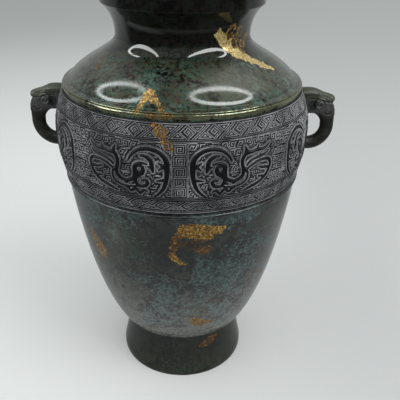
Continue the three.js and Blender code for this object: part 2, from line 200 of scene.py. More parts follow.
def barrel_radius(rise):
    rise = np.asarray(rise, float)
    edge = np.where(rise > WIDEST_RISE, BAND_TOP_RADIUS, BAND_BOTTOM_RADIUS)
    span = np.where(rise > WIDEST_RISE, BAND_HEIGHT - WIDEST_RISE, WIDEST_RISE)
    share = (rise - WIDEST_RISE) / span
    return WIDEST_RADIUS - (WIDEST_RADIUS - edge) * share * share


# Gold leaf. A patch has the radius of the casting there, a brightness from copper (0) to fresh gold (1), the
# share that has rubbed off, and runs of strokes: angle in degrees, height and half width in mm.
LEAF_PATCHES = {
    "splash_at_neck": (46, 1.35, 0.1, [
        [(30, 255.5, 2.6), (35.5, 251.5, 4.6), (41, 247.5, 4.4), (47, 243.6, 3.0), (55, 239, 2.4),
         (64, 233.5, 1.2)]]),
    "smear_on_neck": (45, 0.7, 0.62, [
        [(38, 251, 3.2), (43, 258, 2.4)],
        [(45, 247, 3.4), (53, 256, 3.6)],
        [(53, 245, 2.4), (65, 252, 2.6)]]),
    "arch_on_shoulder": (72, 0.75, 0.3, [
        [(-16.6, 221.4, 1.7), (-15.8, 226, 1.8), (-13.8, 229.4, 2.0), (-11.4, 227.6, 1.7), (-8.6, 224.6, 1.7),
         (-6.8, 222.4, 1.4)]]),
    "bar_on_bead": (78, 0.4, 0.45, [
        [(-12.0, 219.6, 1.6), (-7.0, 219.2, 2.2), (-2.4, 219.6, 1.9)]]),
    "drips_on_band": (82, 0.42, 0.5, [
        [(-9.8, 214.8, 1.6), (-7.8, 212.8, 3.0), (-5.6, 210.6, 2.6), (-4.4, 208.8, 1.2)],
        [(-5.0, 206.6, 1.6), (-3.4, 204.8, 2.4), (-2.2, 203.2, 1.2)]]),
    "flag_on_belly": (79, 0.55, 0.25, [
        [(2.8, 149.4, 4.6), (8, 148.2, 5.8), (13.2, 147.0, 5.6), (18.0, 147.6, 3.8), (21.5, 149.0, 1.3)]]),
    "flag_pole": (77, 0.3, 0.5, [
        [(-0.2, 145.4, 3.0), (-1.8, 138.0, 2.6), (-2.8, 131.5, 2.0)]]),
    "flag_foot": (76, 0.6, 0.3, [
        [(-3.2, 130.8, 2.0), (-1.6, 126.8, 2.4), (1.6, 123.6, 2.0), (3.8, 120.6, 0.9)]]),
    "crumb_under_flag": (77, 0.25, 0.5, [
        [(7.5, 135.6, 1.8), (11.4, 133.6, 3.4), (14.4, 134.6, 2.4)]]),
    "worn_under_flag": (77, -0.1, 0.7, [
        [(1.0, 140.0, 3.2), (5.0, 137.0, 4.2), (10.0, 139.4, 3.2)]]),
    "low_on_belly": (56, 0.5, 0.35, [
        [(8.5, 66.4, 2.0), (11.5, 62.8, 4.0), (15.5, 60.8, 4.0), (19.5, 60.8, 2.6), (24.0, 60.6, 1.0)]]),
    "on_foot": (44, 0.15, 0.42, [
        [(20.0, 25.0, 2.2), (26.0, 25.4, 3.6), (32.0, 27.2, 3.4), (38.0, 29.8, 1.8)]]),
    "left_of_belly": (76, 0.5, 0.35, [
        [(-49.8, 130.6, 2.6), (-47.4, 125.0, 5.4), (-45.0, 118.4, 7.2)]]),
    "right_of_belly": (66, 0.3, 0.66, [
        [(51, 97.5, 1.6), (58, 91.0, 1.4), (63, 84.0, 0.8)]]),
    "left_of_shoulder": (70, 0.2, 0.7, [
        [(-66, 238.5, 2.4), (-57, 236.5, 2.0), (-50, 232.0, 1.0)]]),
    "right_back_of_belly": (76, 0.6, 0.35, [
        [(128, 149, 2.0), (133, 143, 4.2), (141, 139, 4.6), (147, 132, 2.2)],
        [(136, 131, 1.8), (143, 127, 1.0)]]),
    "back_of_shoulder": (58, 0.7, 0.3, [
        [(196, 240, 1.6), (203, 236, 3.0), (212, 232, 2.6), (218, 227, 1.2)]]),
    "left_back_of_belly": (68, 0.45, 0.45, [
        [(232, 104, 1.6), (239, 97, 3.6), (247, 93, 2.2)]]),
}


# Clouds of darker and paler colour: angle, height, radius of the casting there, half width, half height, and
# tone, which is dark below 0 and pale above. The two pale ones on the shoulder are painted glow round the
# ring lamps' highlights, the pale one low on the front of the belly is painted reflection of the table, and
# the rest only darken or pale the colour.
CLOUDS_OF_PATINA_AND_PAINTED_LIGHT = {
    "dark_front_of_shoulder": (-6, 232, 60, 10, 8, -0.6),
    "dark_left_of_shoulder": (-48, 223, 72, 10, 6, -0.4),
    # The next two are painted glow round the highlights of the ring lamps on the shoulder
    "painted_glow_right_of_shoulder": (32, 232.5, 64, 24, 8, 1.3),
    "painted_glow_left_of_shoulder": (-44, 234, 62, 14, 5, 0.5),
    "dark_front_of_belly": (-5, 133, 77, 15, 21, -1.0),
    "dark_by_leaf": (12, 137, 77, 10, 7, -0.6),
    "pale_left_of_belly": (-31, 138, 77, 13, 18, 0.55),
    # Painted reflection of the pale table on the lower front of the belly
    "painted_table_reflection_front_of_belly": (12, 92, 66, 22, 12, 0.3),
    "dark_back_of_shoulder": (170, 231, 64, 18, 8, -1.0),
    "dark_back_of_belly": (200, 110, 72, 24, 20, -0.7),
}


def degrees_from(angle, middle):
    """How far an angle lies from a middle one, from -180 to 180 degrees."""
    return (angle - middle + 180) % 360 - 180


def cloud_tones(angle, height):
    tone = np.zeros(angle.shape)
    for middle, level, radius, wide, tall, depth in CLOUDS_OF_PATINA_AND_PAINTED_LIGHT.values():
        across = degrees_from(angle, middle) * DEGREE * radius
        tone += depth * np.exp(-(across / wide) ** 2 - ((height - level) / tall) ** 2)
    return {"cloud_tone": tone}


def distance_to_run(x, y, run):
    """How deep each point lies inside a run of tapered strokes, in mm; outside it is negative."""
    depth = np.full(np.broadcast(x, y).shape, -1e3)
    for (x0, y0, w0), (x1, y1, w1) in zip(run[:-1], run[1:]):
        dx, dy = x1 - x0, y1 - y0
        share = np.clip(((x - x0) * dx + (y - y0) * dy) / max(dx * dx + dy * dy, 1e-9), 0, 1)
        reach = np.hypot(x - x0 - share * dx, y - y0 - share * dy)
        depth = np.maximum(depth, w0 + share * (w1 - w0) - reach)
    return depth


def leaf_fields(angle, height):
    """Depth inside the nearest patch of leaf, its brightness and its wear, at angles and heights."""
    depth = np.full(angle.shape, -20.0)
    bright = np.zeros(angle.shape)
    worn = np.zeros(angle.shape)
    for radius, patch_bright, patch_worn, runs in LEAF_PATCHES.values():
        scale = DEGREE * radius
        for run in runs:
            middle = run[len(run) // 2][0]
            strokes = [(degrees_from(a, middle) * scale, z, width) for a, z, width in run]
            here = distance_to_run(degrees_from(angle, middle) * scale, height, strokes)
            nearer = here > depth
            depth = np.where(nearer, here, depth)
            bright = np.where(nearer, patch_bright, bright)
            worn = np.where(nearer, patch_worn, worn)
    return {"leaf_depth": depth, "leaf_bright": bright, "leaf_worn": worn}


# Turned meshes

def turned_mesh(name, radii, heights, fields, sharp=True):
    """A closed turned piece. radii and heights are (points of the outline, facets round) or one column."""
    around = AROUND if radii.shape[1] == 1 else radii.shape[1]
    points = len(radii)
    angle = np.linspace(0, 360, around, endpoint=False)[None, :]
    radii = np.broadcast_to(radii, (points, around))
    heights = np.broadcast_to(heights, (points, around))
    sine, cosine = np.sin(np.radians(angle)), np.cos(np.radians(angle))
    corners = np.stack([radii * sine, -radii * cosine, heights], 2).reshape(-1, 3) * MM
    row = np.arange(points)[:, None] * around
    next_row = (np.arange(points)[:, None] + 1) % points * around
    column = np.arange(around)[None, :]
    next_column = (column + 1) % around
    quads = np.stack([row + column, row + next_column, next_row + next_column, next_row + column], 2)
    quads = quads.reshape(-1, 4)
    mesh = bpy.data.meshes.new(name)
    mesh.vertices.add(len(corners))
    mesh.vertices.foreach_set("co", corners.ravel().astype(np.float32))
    mesh.loops.add(quads.size)
    mesh.loops.foreach_set("vertex_index", quads.ravel().astype(np.int32))
    mesh.polygons.add(len(quads))
    mesh.polygons.foreach_set("loop_start", np.arange(0, quads.size, 4, dtype=np.int32))
    mesh.update(calc_edges=True)

    steps = np.hypot(np.diff(radii[:, 0], append=radii[0, 0]), np.diff(heights[:, 0], append=heights[0, 0]))
    along = np.concatenate([[0.0], np.cumsum(steps)]) / steps.sum()
    u = np.stack([column, column + 1, column + 1, column], 2) / around
    u = np.broadcast_to(u, (points, around, 4))
    v = np.stack([along[:-1], along[:-1], along[1:], along[1:]], 1)[:, None, :]
    v = np.broadcast_to(v, (points, around, 4))
    layer = mesh.uv_layers.new(name="OFBake")
    layer.uv.foreach_set("vector", np.stack([u, v], 3).ravel().astype(np.float32))

    angles = np.broadcast_to(angle, (points, around))
    write_fields(mesh, {**leaf_fields(angles, heights), **cloud_tones(angles, heights), **fields})
    mesh.shade_smooth()
    if sharp:
        mesh.set_sharp_from_angle(angle=CREASE * DEGREE)
    mesh.update()
    return add_object(name, mesh)


def casting(node, outline, finish):
    outline = eased(outline)
    dress(turned_mesh(node + "_dressed", outline[:, :1], outline[:, 1:], {}), node, finish)


def dress(piece, node, finish):
    piece.data.materials.clear()
    piece.data.materials.append(finish)
    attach(piece, "root")
    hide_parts(node)


# The castings

def upper_side():
    """The outer side from the upper bead to the lip, one smooth curve over shoulder and neck."""
    shelf = BAND_JOINT + SHELF_RISE
    turn = (NECK_TURN[0], NECK_JOINT + NECK_TURN[1])
    waist = (WAIST_RADIUS, NECK_JOINT + WAIST_RISE)
    lip_low = (LIP_RADIUS, MOUTH_TOP - LIP_ROUNDING - LIP_FACE)
    dome_pull = (DOME_PULL[0], shelf + DOME_PULL[1])
    fall = (FALL_RADIUS, NECK_JOINT - FALL_DROP)
    dome = bezier([(SHELF_RADIUS, shelf), dome_pull, fall, turn], 48)
    root = bezier([turn, (WAIST_RADIUS, NECK_JOINT + NECK_PULL_RISE), waist], 32)
    flare = bezier([waist, (WAIST_RADIUS, lip_low[1] - FLARE_DROP), lip_low], 24)
    return np.concatenate([dome, root[1:], flare[1:]])


UPPER_SIDE = upper_side()
NECK_ROOT_RADIUS = float(np.interp(NECK_JOINT, UPPER_SIDE[:, 1], UPPER_SIDE[:, 0]))
FOOT_SOCKET = FOOT_TOP_RADIUS - WALL
BELLY_SKIRT = FOOT_SOCKET - LAP
BELLY_FLOOR = FOOT_JOINT + 3.0
BELLY_SOCKET = BELLY_TOP_RADIUS - WALL
BAND_SKIRT = BELLY_SOCKET - LAP
BAND_SOCKET = BAND_TOP_RADIUS - GROOVE_DEPTH - WALL
SHOULDER_SKIRT = BAND_SOCKET - LAP
SHOULDER_SOCKET = NECK_ROOT_RADIUS - WALL
NECK_SKIRT = SHOULDER_SOCKET - LAP
LOWER_GROOVE_RADIUS = BAND_BOTTOM_RADIUS - GROOVE_DEPTH
UPPER_GROOVE_RADIUS = BAND_TOP_RADIUS - GROOVE_DEPTH


def foot_outline():
    share = np.linspace(0, 1, 25)
    radius = FOOT_TOP_RADIUS + (FOOT_RADIUS - FOOT_TOP_RADIUS) * (1 - share) ** FOOT_FLARE
    side = np.stack([radius, FOOT_EDGE + (FOOT_JOINT - FOOT_EDGE) * share], 1)
    rim_inside = FOOT_RADIUS - FOOT_RIM
    return np.concatenate([
        [[rim_inside, 0], [FOOT_RADIUS, 0]], side, [[FOOT_SOCKET, FOOT_JOINT]],
        inner_side(side, FOOT_EDGE, FOOT_JOINT - SKIRT_DEPTH, most=rim_inside), [[rim_inside, FOOT_EDGE]],
    ])


def belly_outline():
    pull = (BELLY_PULL[0] - HEEL_CENTRE[0], BELLY_PULL[1] - HEEL_CENTRE[1])
    heel_end = math.degrees(math.atan2(pull[1], pull[0])) - 90
    heel = arc(HEEL_CENTRE, HEEL_RADIUS, -90, heel_end, 8)
    side = bezier([heel[-1], BELLY_PULL, (BELLY_TOP_RADIUS, BELLY_RIM_BASE)], 80)
    pocket = heel[-1][0] - WALL
    bead_centre = (BELLY_TOP_RADIUS - 0.2, BELLY_RIM_BASE + 1.55)
    bead = arc(bead_centre, 1.3, -60, 72, 10, reach=BEAD_RADIUS - bead_centre[0])
    return np.concatenate([
        heel, side[1:], bead,
        [[LOWER_GROOVE_RADIUS, BELLY_JOINT - GROOVE], [LOWER_GROOVE_RADIUS, BELLY_JOINT],
         [BELLY_SOCKET, BELLY_JOINT]],
        inner_side(side, BELLY_FLOOR + WALL, BELLY_RIM_BASE, least=pocket),
        [[pocket, BELLY_FLOOR + 2.5], [pocket, BELLY_FLOOR], [BELLY_SKIRT - SKIRT, BELLY_FLOOR]],
        skirt(BELLY_SKIRT, FOOT_JOINT),
    ])


def shoulder_outline():
    side = np.concatenate([UPPER_SIDE[UPPER_SIDE[:, 1] < NECK_JOINT], [[NECK_ROOT_RADIUS, NECK_JOINT]]])
    low = BAND_JOINT + GROOVE
    bead_radius = float(barrel_radius(low - BELLY_JOINT))
    bead = arc((bead_radius - 0.85, low + 1.45), 1.45, -82, 62, 12, reach=0.85)
    ridge = arc((bead_radius - 1.3, low + 3.35), 0.5, -40, 120, 8)
    return np.concatenate([
        [[UPPER_GROOVE_RADIUS, BAND_JOINT], [UPPER_GROOVE_RADIUS - 0.1, low]], bead,
        [[bead_radius - 1.15, low + 2.8]], ridge, side, [[SHOULDER_SOCKET, NECK_JOINT]],
        inner_side(side, BAND_JOINT + WALL, NECK_JOINT - 1), skirt(SHOULDER_SKIRT, BAND_JOINT),
    ])


def neck_outline():
    side = np.concatenate([[[NECK_ROOT_RADIUS, NECK_JOINT]], UPPER_SIDE[UPPER_SIDE[:, 1] > NECK_JOINT]])
    lip_centre = (LIP_RADIUS - LIP_EASE, MOUTH_TOP - LIP_EASE)
    return np.concatenate([
        side, arc(lip_centre, LIP_EASE, 0, 90, 12), [[LIP_RADIUS - LIP_ROUNDING - WALL / 2, MOUTH_TOP]],
        inner_side(side, NECK_JOINT + WALL, MOUTH_TOP, most=LIP_RADIUS - LIP_ROUNDING),
        skirt(NECK_SKIRT, NECK_JOINT),
    ])


# The relief band. Its ornament is drawn on the unrolled barrel: x to the right and y upwards, in mm.

UNROLL_RADIUS = 83.0
ARC = DEGREE * UNROLL_RADIUS    # mm for one degree
FIELD_LOW, FIELD_HIGH = 173.4, 206.4
FIELD_MIDDLE = 189.85
UPPER_FRET = (208.0, 215.6)
LOWER_FRET = (164.1, 170.9)
DIAMONDS = 34                   # rhombic spirals round one border
GROUND_CELLS = 112              # square spirals in one row of the ground
GROUND_ROWS = 7
COLUMN_SPIRALS = 5
COLUMN_HALF_WIDTH = 3.9
ORNAMENT_TURN = 1.0             # degrees that the ornament is turned against the handles
SEAT_HALF_WIDTH = 5.4           # of the plain seat under a handle

# How deep the ground lies under the barrel, and how high each kind of line stands on it
GROUND_DEPTH = 0.85
STROKE_DEPTH = 0.15             # of the bird's strokes under the barrel
SEAT_DEPTH = 0.12
LINE_STAND = 0.4
CONTOUR_STAND = 0.5
RAIL_STAND = 0.62

# Rails round the band: height and half width
RAILS = (
    (215.9, 0.22), (207.75, 0.2), (206.75, 0.2), (172.8, 0.2), (171.6, 0.2), (163.5, 0.22), (162.4, 0.3),
)

# The bird, as strokes (x, y, half width) about the middle of its panel
BIRD = {
    "crest": [(-3.5, 4.9, 0.2), (-4.6, 7.2, 0.4), (-6.4, 9.5, 0.55), (-9.0, 11.5, 0.7), (-12.4, 12.5, 0.8),
              (-16.1, 12.6, 0.8), (-19.7, 11.7, 0.85), (-22.7, 9.9, 0.95), (-24.8, 7.4, 1.15),
              (-25.6, 4.0, 1.25), (-25.5, -1.7, 1.1), (-24.8, -6.2, 0.95), (-23.7, -9.7, 0.8),
              (-22.0, -12.5, 0.6), (-19.8, -14.9, 0.4), (-18.0, -16.1, 0.2)],
    "crest_spur_up": [(-24.4, 3.3, 0.9), (-22.5, 4.1, 0.5), (-20.8, 5.2, 0.1)],
    "crest_spur_down": [(-24.4, 3.3, 0.9), (-22.5, 2.2, 0.5), (-21.0, 0.9, 0.1)],
    "crest_spur_low": [(-24.5, -5.0, 0.8), (-22.1, -5.3, 0.5), (-19.6, -5.8, 0.1)],
    "plume": [(-10.8, 8.7, 0.3), (-12.9, 8.6, 0.6), (-15.1, 7.6, 0.85), (-16.7, 5.9, 0.95),
              (-17.3, 3.3, 0.95), (-17.5, 1.2, 0.8), (-17.9, -0.6, 0.2)],
    "plume_barb": [(-17.3, 1.7, 0.7), (-16.0, 2.2, 0.4), (-15.0, 2.7, 0.1)],
    "brow": [(-14.4, 4.0, 0.2), (-12.7, 4.3, 0.4), (-10.8, 4.4, 0.55), (-8.6, 3.4, 0.85), (-7.4, 1.7, 0.95),
             (-7.4, -0.7, 1.0), (-7.4, -3.0, 1.1)],
    "face": [(-12.1, 2.2, 0.6), (-12.4, 0.1, 0.8), (-11.6, -1.8, 0.9)],
    "cheek": [(-10.4, -2.2, 1.1), (-8.5, -3.3, 1.5), (-7.2, -4.9, 1.25), (-7.4, -7.2, 0.95)],
    "beak": [(-7.4, -7.0, 0.9), (-8.5, -9.2, 0.75), (-11.0, -10.0, 0.75), (-13.2, -9.3, 0.8),
             (-14.4, -7.8, 0.75), (-14.2, -6.2, 0.6), (-12.8, -5.7, 0.5), (-11.6, -6.4, 0.45)],
    "body": [(-7.2, -5.0, 1.1), (-5.6, -6.1, 0.95), (-2.7, -7.3, 0.85), (0.2, -7.1, 0.85), (2.7, -5.75, 0.9),
             (3.9, -3.7, 0.9), (3.9, -1.25, 0.8), (3.1, 1.65, 0.75), (2.9, 4.4, 0.8), (4.1, 6.9, 0.9),
             (5.6, 8.3, 1.0)],
    "shoulder_knot": [(3.9, -1.2, 0.8), (6.2, -1.3, 0.6)],
    "wing_spike": [(5.7, 8.6, 1.1), (5.5, 10.5, 0.6), (4.8, 12.1, 0.15)],
    "wing_top": [(6.1, 8.4, 1.0), (9.2, 8.4, 0.7), (12.0, 9.0, 0.7), (16.8, 8.9, 0.55), (19.7, 9.9, 0.45),
                 (22.0, 11.6, 0.1)],
    "wing_barb": [(13.0, 9.5, 0.7), (13.9, 11.5, 0.1)],
    "feather": [(6.0, 1.2, 0.3), (7.7, 3.0, 0.5), (10.8, 4.25, 0.5), (14.6, 4.95, 0.6), (17.9, 5.6, 0.5),
                (21.0, 7.2, 0.1)],
    "feather_barb": [(14.6, 5.2, 0.5), (14.8, 6.5, 0.1)],
    "tail": [(6.2, -1.15, 0.4), (9.2, 0.6, 0.5), (13.3, 2.2, 0.55), (18.0, 2.55, 0.6), (21.1, 1.8, 0.65),
             (22.5, -0.75, 0.7), (21.9, -4.45, 0.75), (19.4, -8.6, 0.85), (15.5, -11.6, 0.9),
             (10.9, -13.1, 0.9), (7.4, -14.3, 0.6), (4.3, -15.4, 0.2)],
    "tail_vein_upper": [(14.2, -1.5, 0.2), (16.8, -2.45, 0.55), (20.8, -3.1, 0.7)],
    "tail_vein_lower": [(14.4, -7.6, 0.2), (16.8, -8.15, 0.5), (19.5, -8.4, 0.6)],
    "breast": [(4.7, -1.6, 0.4), (6.5, -3.2, 0.4), (6.8, -5.9, 0.4), (5.8, -8.5, 0.4), (3.4, -10.2, 0.4),
               (-0.3, -11.1, 0.4), (-4.4, -11.0, 0.4), (-8.1, -10.4, 0.25)],
    "belly_spot": [(-6.6, -8.3, 0.5), (-5.4, -9.0, 0.4)],
    "belly_spot_two": [(-2.4, -8.8, 0.35), (-1.2, -8.6, 0.4)],
    "foot_fore": [(-14.0, -13.1, 0.2), (-12.1, -12.4, 0.6), (-10.9, -13.7, 0.5), (-9.7, -15.2, 0.2)],
    "foot_middle": [(-9.7, -15.2, 0.2), (-8.1, -12.9, 0.6), (-6.6, -12.0, 0.6), (-5.2, -13.5, 0.5),
                    (-4.1, -14.2, 0.2)],
    "foot_hind": [(-4.1, -14.2, 0.2), (-2.9, -12.4, 0.6), (-1.3, -12.2, 0.2)],
}
BIRD_EYE = (-10.0, 0.9, 1.5)    # x, y, radius of the light spot


def smooth_run(run):
    """The strokes of a run bent into one smooth curve (Catmull-Rom)."""
    if len(run) < 4:
        return run
    points = np.array([run[0], *run, run[-1]], float)
    curve = []
    for a, b, c, d in zip(points[:-3], points[1:-2], points[2:-1], points[3:]):
        for t in np.linspace(0, 1, 5)[:-1]:
            curve.append(0.5 * (2 * b + (c - a) * t + (2 * a - 5 * b + 4 * c - d) * t ** 2
                                + (3 * b - a - 3 * c + d) * t ** 3))
    curve.append(points[-1])
    return [tuple(p) for p in curve]


def ease(low, high, value):
    share = np.clip((value - low) / (high - low), 0, 1)
    return share * share * (3 - 2 * share)


def line(distance, half_width, edge=0.16):
    """1 on a line, falling to 0 past its half width."""
    return 1 - ease(half_width - edge, half_width + edge, np.abs(distance))


def square_spiral(x, y, turns, pitch):
    """Raised line of a square spiral that fills -1..1 both ways. pitch is the mm between its turns."""
    far = np.maximum(np.abs(x), np.abs(y))
    upright = np.abs(x) >= np.abs(y)
    side = np.where(upright, np.where(x > 0, 0, 2), np.where(y > 0, 1, 3))
    phase = (far * turns - side / 4) % 1.0
    return line((phase - 0.5) * pitch, pitch * 0.17) * (far < 0.98)


def scatter(a, b, seed):
    """A fixed pseudo-random share for whole numbers a and b."""
    mixed = np.sin(a * 12.9898 + b * 78.233 + seed * 37.719) * 43758.5453
    return mixed - np.floor(mixed)


def thunder_ground(x, y):
    """Fine square spirals, turned and mirrored from cell to cell, that fill the field."""
    width = 2 * math.pi * UNROLL_RADIUS / GROUND_CELLS
    height = (FIELD_HIGH - FIELD_LOW) / GROUND_ROWS
    row = np.floor((y - FIELD_LOW) / height)
    shifted = x / width + np.where(row % 2 == 0, 0.0, 0.5) + 0.16 * np.sin(y * 0.9 + x * 0.23)
    column = np.floor(shifted)
    across = (shifted - column) * 2 - 1
    up = ((y - FIELD_LOW) / height - row) * 2 - 1
    column = column % GROUND_CELLS
    kind = np.floor(scatter(column, row, 1) * 4)
    across = np.where(kind % 2 == 0, across, -across)
    up = np.where(kind < 2, up, -up)
    flip = scatter(column, row, 2) > 0.5
    across, up = np.where(flip, up, across), np.where(flip, across, up)
    return square_spiral(across, up, 1.75, 1.35)


def diamond_fret(x, y, low, high):
    """Rhombic spirals between double slanting lines, with nested triangles in the corners."""
    middle, half = (low + high) / 2, (high - low) / 2
    wide, tall = 4.5, half * 0.97
    pitch = 360 / DIAMONDS * ARC
    y = y - middle
    x = x - 3 * ARC
    slant = x / wide - y / tall
    period = pitch / wide
    index = np.floor(slant / period + 0.5)
    slant = slant - index * period
    other = x / wide + y / tall - index * period
    step = wide * tall / math.hypot(wide, tall)     # mm for one unit of slant
    spiral = square_spiral(other / 0.8, slant / 0.8, 1.9, step * 0.8 / 1.9)
    edge = line((np.maximum(abs(slant), abs(other)) - 1.02) * step, 0.18)
    double = line((abs(slant) - period / 2 + 0.17) * step, 0.17)
    corner = (abs(other) > 1.12) & (abs(slant) < period / 2 - 0.32)
    room = np.minimum(np.minimum((abs(other) - 1.12) * step, half - 0.2 - np.abs(y)),
                      (period / 2 - 0.32 - abs(slant)) * step)
    nested = line(room % 1.0 - 0.55, 0.17) * corner * (room > 0)
    inside = 1 - ease(half - 0.25, half, np.abs(y))
    return np.maximum.reduce([spiral, edge, double, nested]) * inside


def fret_columns(angle, y):
    """The upright strips of stacked square spirals at the front and at the back.

    Gives their lines, the uprights alone, and how far each point lies outside the strip.
    """
    x = ((angle + 90) % 180 - 90) * ARC
    margin = 0.3
    height = (FIELD_HIGH - FIELD_LOW - 2 * margin) / COLUMN_SPIRALS
    row = np.floor((y - FIELD_LOW - margin) / height)
    up = ((y - FIELD_LOW - margin) / height - row) * 2 - 1
    across = x / COLUMN_HALF_WIDTH * np.where(row % 2 == 0, 1, -1)
    spiral = square_spiral(across, up, 3.0, 1.2) * (np.abs(x) < COLUMN_HALF_WIDTH + 0.1)
    upright = line(np.abs(x) - COLUMN_HALF_WIDTH - 0.5, 0.22)
    return np.maximum(spiral, upright), upright, np.abs(x) - COLUMN_HALF_WIDTH - 1.0


def relief_heights(angle, y):
    """For a grid of angles (degrees, one row) and heights (one column): depth and masks of the ornament."""
    beside = np.abs(np.abs(degrees_from(angle, 0)) - 90) * ARC
    angle = angle - ORNAMENT_TURN
    grid_angle, grid_y = np.broadcast_arrays(angle, y)
    x = grid_angle * ARC

    # One panel holds one bird; panels are mirrored about the front, the back and the handles
    folded = np.abs(degrees_from(angle, 0))
    folded = np.minimum(folded, 180 - folded)
    spacing = 360 / BAND_AROUND
    panel = np.arange(0, 45 + spacing / 2, spacing)[None, :]
    panel_x = (panel - 22.5) * ARC
    panel_y = y - FIELD_MIDDLE
    bird = np.full((len(y), panel.shape[1]), -1e3)
    for run in BIRD.values():
        bird = np.maximum(bird, distance_to_run(panel_x, panel_y, smooth_run(run)))
    eye = BIRD_EYE[2] - np.hypot(panel_x - BIRD_EYE[0], panel_y - BIRD_EYE[1])
    ring = 0.55 - np.abs(eye + 0.55)
    bird = np.where(eye > 0, -eye, np.maximum(bird, ring))
    column = np.round(folded / spacing).astype(int) % (panel.shape[1] - 1)
    bird = bird[:, column[0]]

    field = (grid_y > FIELD_LOW) & (grid_y < FIELD_HIGH)
    stroke = ease(-0.06, 0.26, bird) * field
    contour = line(bird + 0.58, 0.2) * field
    flow = line((bird + 0.6) % 1.2 - 0.6, 0.15) * (bird < -1.1) * (bird > -2.3)
    ground = np.where(bird > -2.0, flow * 0.9, thunder_ground(x, grid_y))
    strip, uprights, outside_strip = fret_columns(grid_angle, grid_y)
    ground = np.where((outside_strip < 0) & (bird < -0.5), strip, ground) * field

    frets = np.where(grid_y > UPPER_FRET[0] - 0.5, diamond_fret(x, grid_y, *UPPER_FRET), 0.0)
    frets = np.where(grid_y < LOWER_FRET[1] + 0.1, diamond_fret(x, grid_y, *LOWER_FRET), frets)
    rails = np.zeros_like(grid_y)
    for height, half in RAILS:
        rails = np.maximum(rails, line(grid_y - height, half))
    raised = np.maximum(rails, uprights * field * (bird < -0.5))
    fine = np.maximum.reduce([ground * (1 - ease(-0.75, -0.35, bird) * field), frets, raised * 0.6])
    fine = np.maximum(fine, contour)

    # A plain seat under each handle
    seat = 1 - ease(SEAT_HALF_WIDTH, SEAT_HALF_WIDTH + 1, beside)
    seat = seat * ease(171.5, 173, grid_y) * (1 - ease(214.5, 215.6, grid_y))
    stroke = stroke * (1 - seat)
    fine = fine * (1 - seat)

    sunk = GROUND_DEPTH - LINE_STAND * fine - (CONTOUR_STAND - LINE_STAND) * contour * (1 - seat)
    sunk = sunk - (RAIL_STAND - LINE_STAND) * raised * (1 - seat)
    sunk = sunk * (1 - stroke) + STROKE_DEPTH * stroke
    sunk = sunk * (1 - seat) + SEAT_DEPTH * seat
    upper_lip = ease(215.8, 216.1, grid_y)
    lower_lip = 1 - ease(161.8, 162.2, grid_y)
    sunk = sunk * (1 - (upper_lip + lower_lip) * 0.8)
    fine = np.maximum(fine, upper_lip * 0.75)
    return sunk, {"stroke": stroke, "fine": fine, "seat": seat}


def make_band(finish):
    low, high = BELLY_JOINT + GROOVE, BAND_JOINT - GROOVE
    rows = int(round((high - low) / BAND_ROW))
    heights = np.linspace(low, high, rows + 1)[:, None]
    angle = np.linspace(0, 360, BAND_AROUND, endpoint=False)[None, :]
    sunk, masks = relief_heights(angle, heights)
    outer = barrel_radius(heights - BELLY_JOINT) - sunk
    rises = np.linspace(GROOVE, BAND_HEIGHT - GROOVE, 13)
    side = np.stack([barrel_radius(rises), BELLY_JOINT + rises], 1)
    rest = np.concatenate([
        [[UPPER_GROOVE_RADIUS, high], [UPPER_GROOVE_RADIUS, BAND_JOINT], [BAND_SOCKET, BAND_JOINT]],
        inner_side(side, BELLY_JOINT + WALL, BAND_JOINT - 1), skirt(BAND_SKIRT, BELLY_JOINT),
        [[LOWER_GROOVE_RADIUS, BELLY_JOINT], [LOWER_GROOVE_RADIUS, low]],
    ])
    ones = np.ones((1, BAND_AROUND))
    radii = np.concatenate([outer, rest[:, :1] * ones])
    levels = np.concatenate([heights * ones, rest[:, 1:] * ones])
    plain = np.zeros((len(rest), BAND_AROUND))
    masks = {key: np.concatenate([value, plain]) for key, value in masks.items()}
    masks["inside"] = np.concatenate([np.zeros_like(outer), plain + 1])
    band = turned_mesh("relief_band_dressed", radii, levels, masks, sharp=False)
    dress(band, "relief_band", finish)


# Handles. They are modelled at +X; across, side and up are measured from the ring's centre in mm.

def turns(count):
    """Angles evenly round a circle, in radians."""
    return [2 * math.pi * k / count for k in range(count)]


def skin(mesh, hoops):
    """Faces between each hoop of points and the next."""
    for one, two in zip(hoops[:-1], hoops[1:]):
        for k in range(len(one)):
            nxt = (k + 1) % len(one)
            mesh.faces.new([one[k], one[nxt], two[nxt], two[k]])


def tube(points, radii, flat=1.0, sides=16):
    """A closed tube through points, with a radius at each; flat widens it sideways."""
    points = np.array(points, float)
    run = np.gradient(points, axis=0)
    mesh = bmesh.new()
    hoops = []
    for centre, ahead, radius in zip(points, run, radii):
        ahead = Vector(ahead).normalized()
        sideways = Vector((0, 1, 0))
        if abs(ahead.dot(sideways)) > 0.9:
            sideways = Vector((1, 0, 0))
        normal = ahead.cross(sideways).normalized()
        sideways = normal.cross(ahead).normalized()
        hoops.append([
            mesh.verts.new(Vector(centre) + (sideways * (math.cos(t) * radius * flat)
                                             + normal * (math.sin(t) * radius)))
            for t in turns(sides)
        ])
    skin(mesh, hoops)
    mesh.faces.new(hoops[0][::-1])
    mesh.faces.new(hoops[-1])
    bmesh.ops.recalc_face_normals(mesh, faces=mesh.faces)
    return mesh


def ball(centre, radii, turn=0.0):
    """An egg with three radii, turned about the side axis."""
    mesh = bmesh.new()
    place = Matrix.Translation(centre) @ Matrix.Rotation(turn, 4, "Y") @ Matrix.Diagonal((*radii, 1))
    bmesh.ops.create_uvsphere(mesh, u_segments=32, v_segments=20, radius=1.0, matrix=place)
    return mesh


def slab(outline, thickness):
    """A plate with an outline seen from the side."""
    mesh = bmesh.new()
    near = [mesh.verts.new((x, -thickness / 2, z)) for x, z in outline]
    far = [mesh.verts.new((x, thickness / 2, z)) for x, z in outline]
    mesh.faces.new(near)
    mesh.faces.new(far[::-1])
    skin(mesh, [near, far])
    bmesh.ops.recalc_face_normals(mesh, faces=mesh.faces)
    return mesh


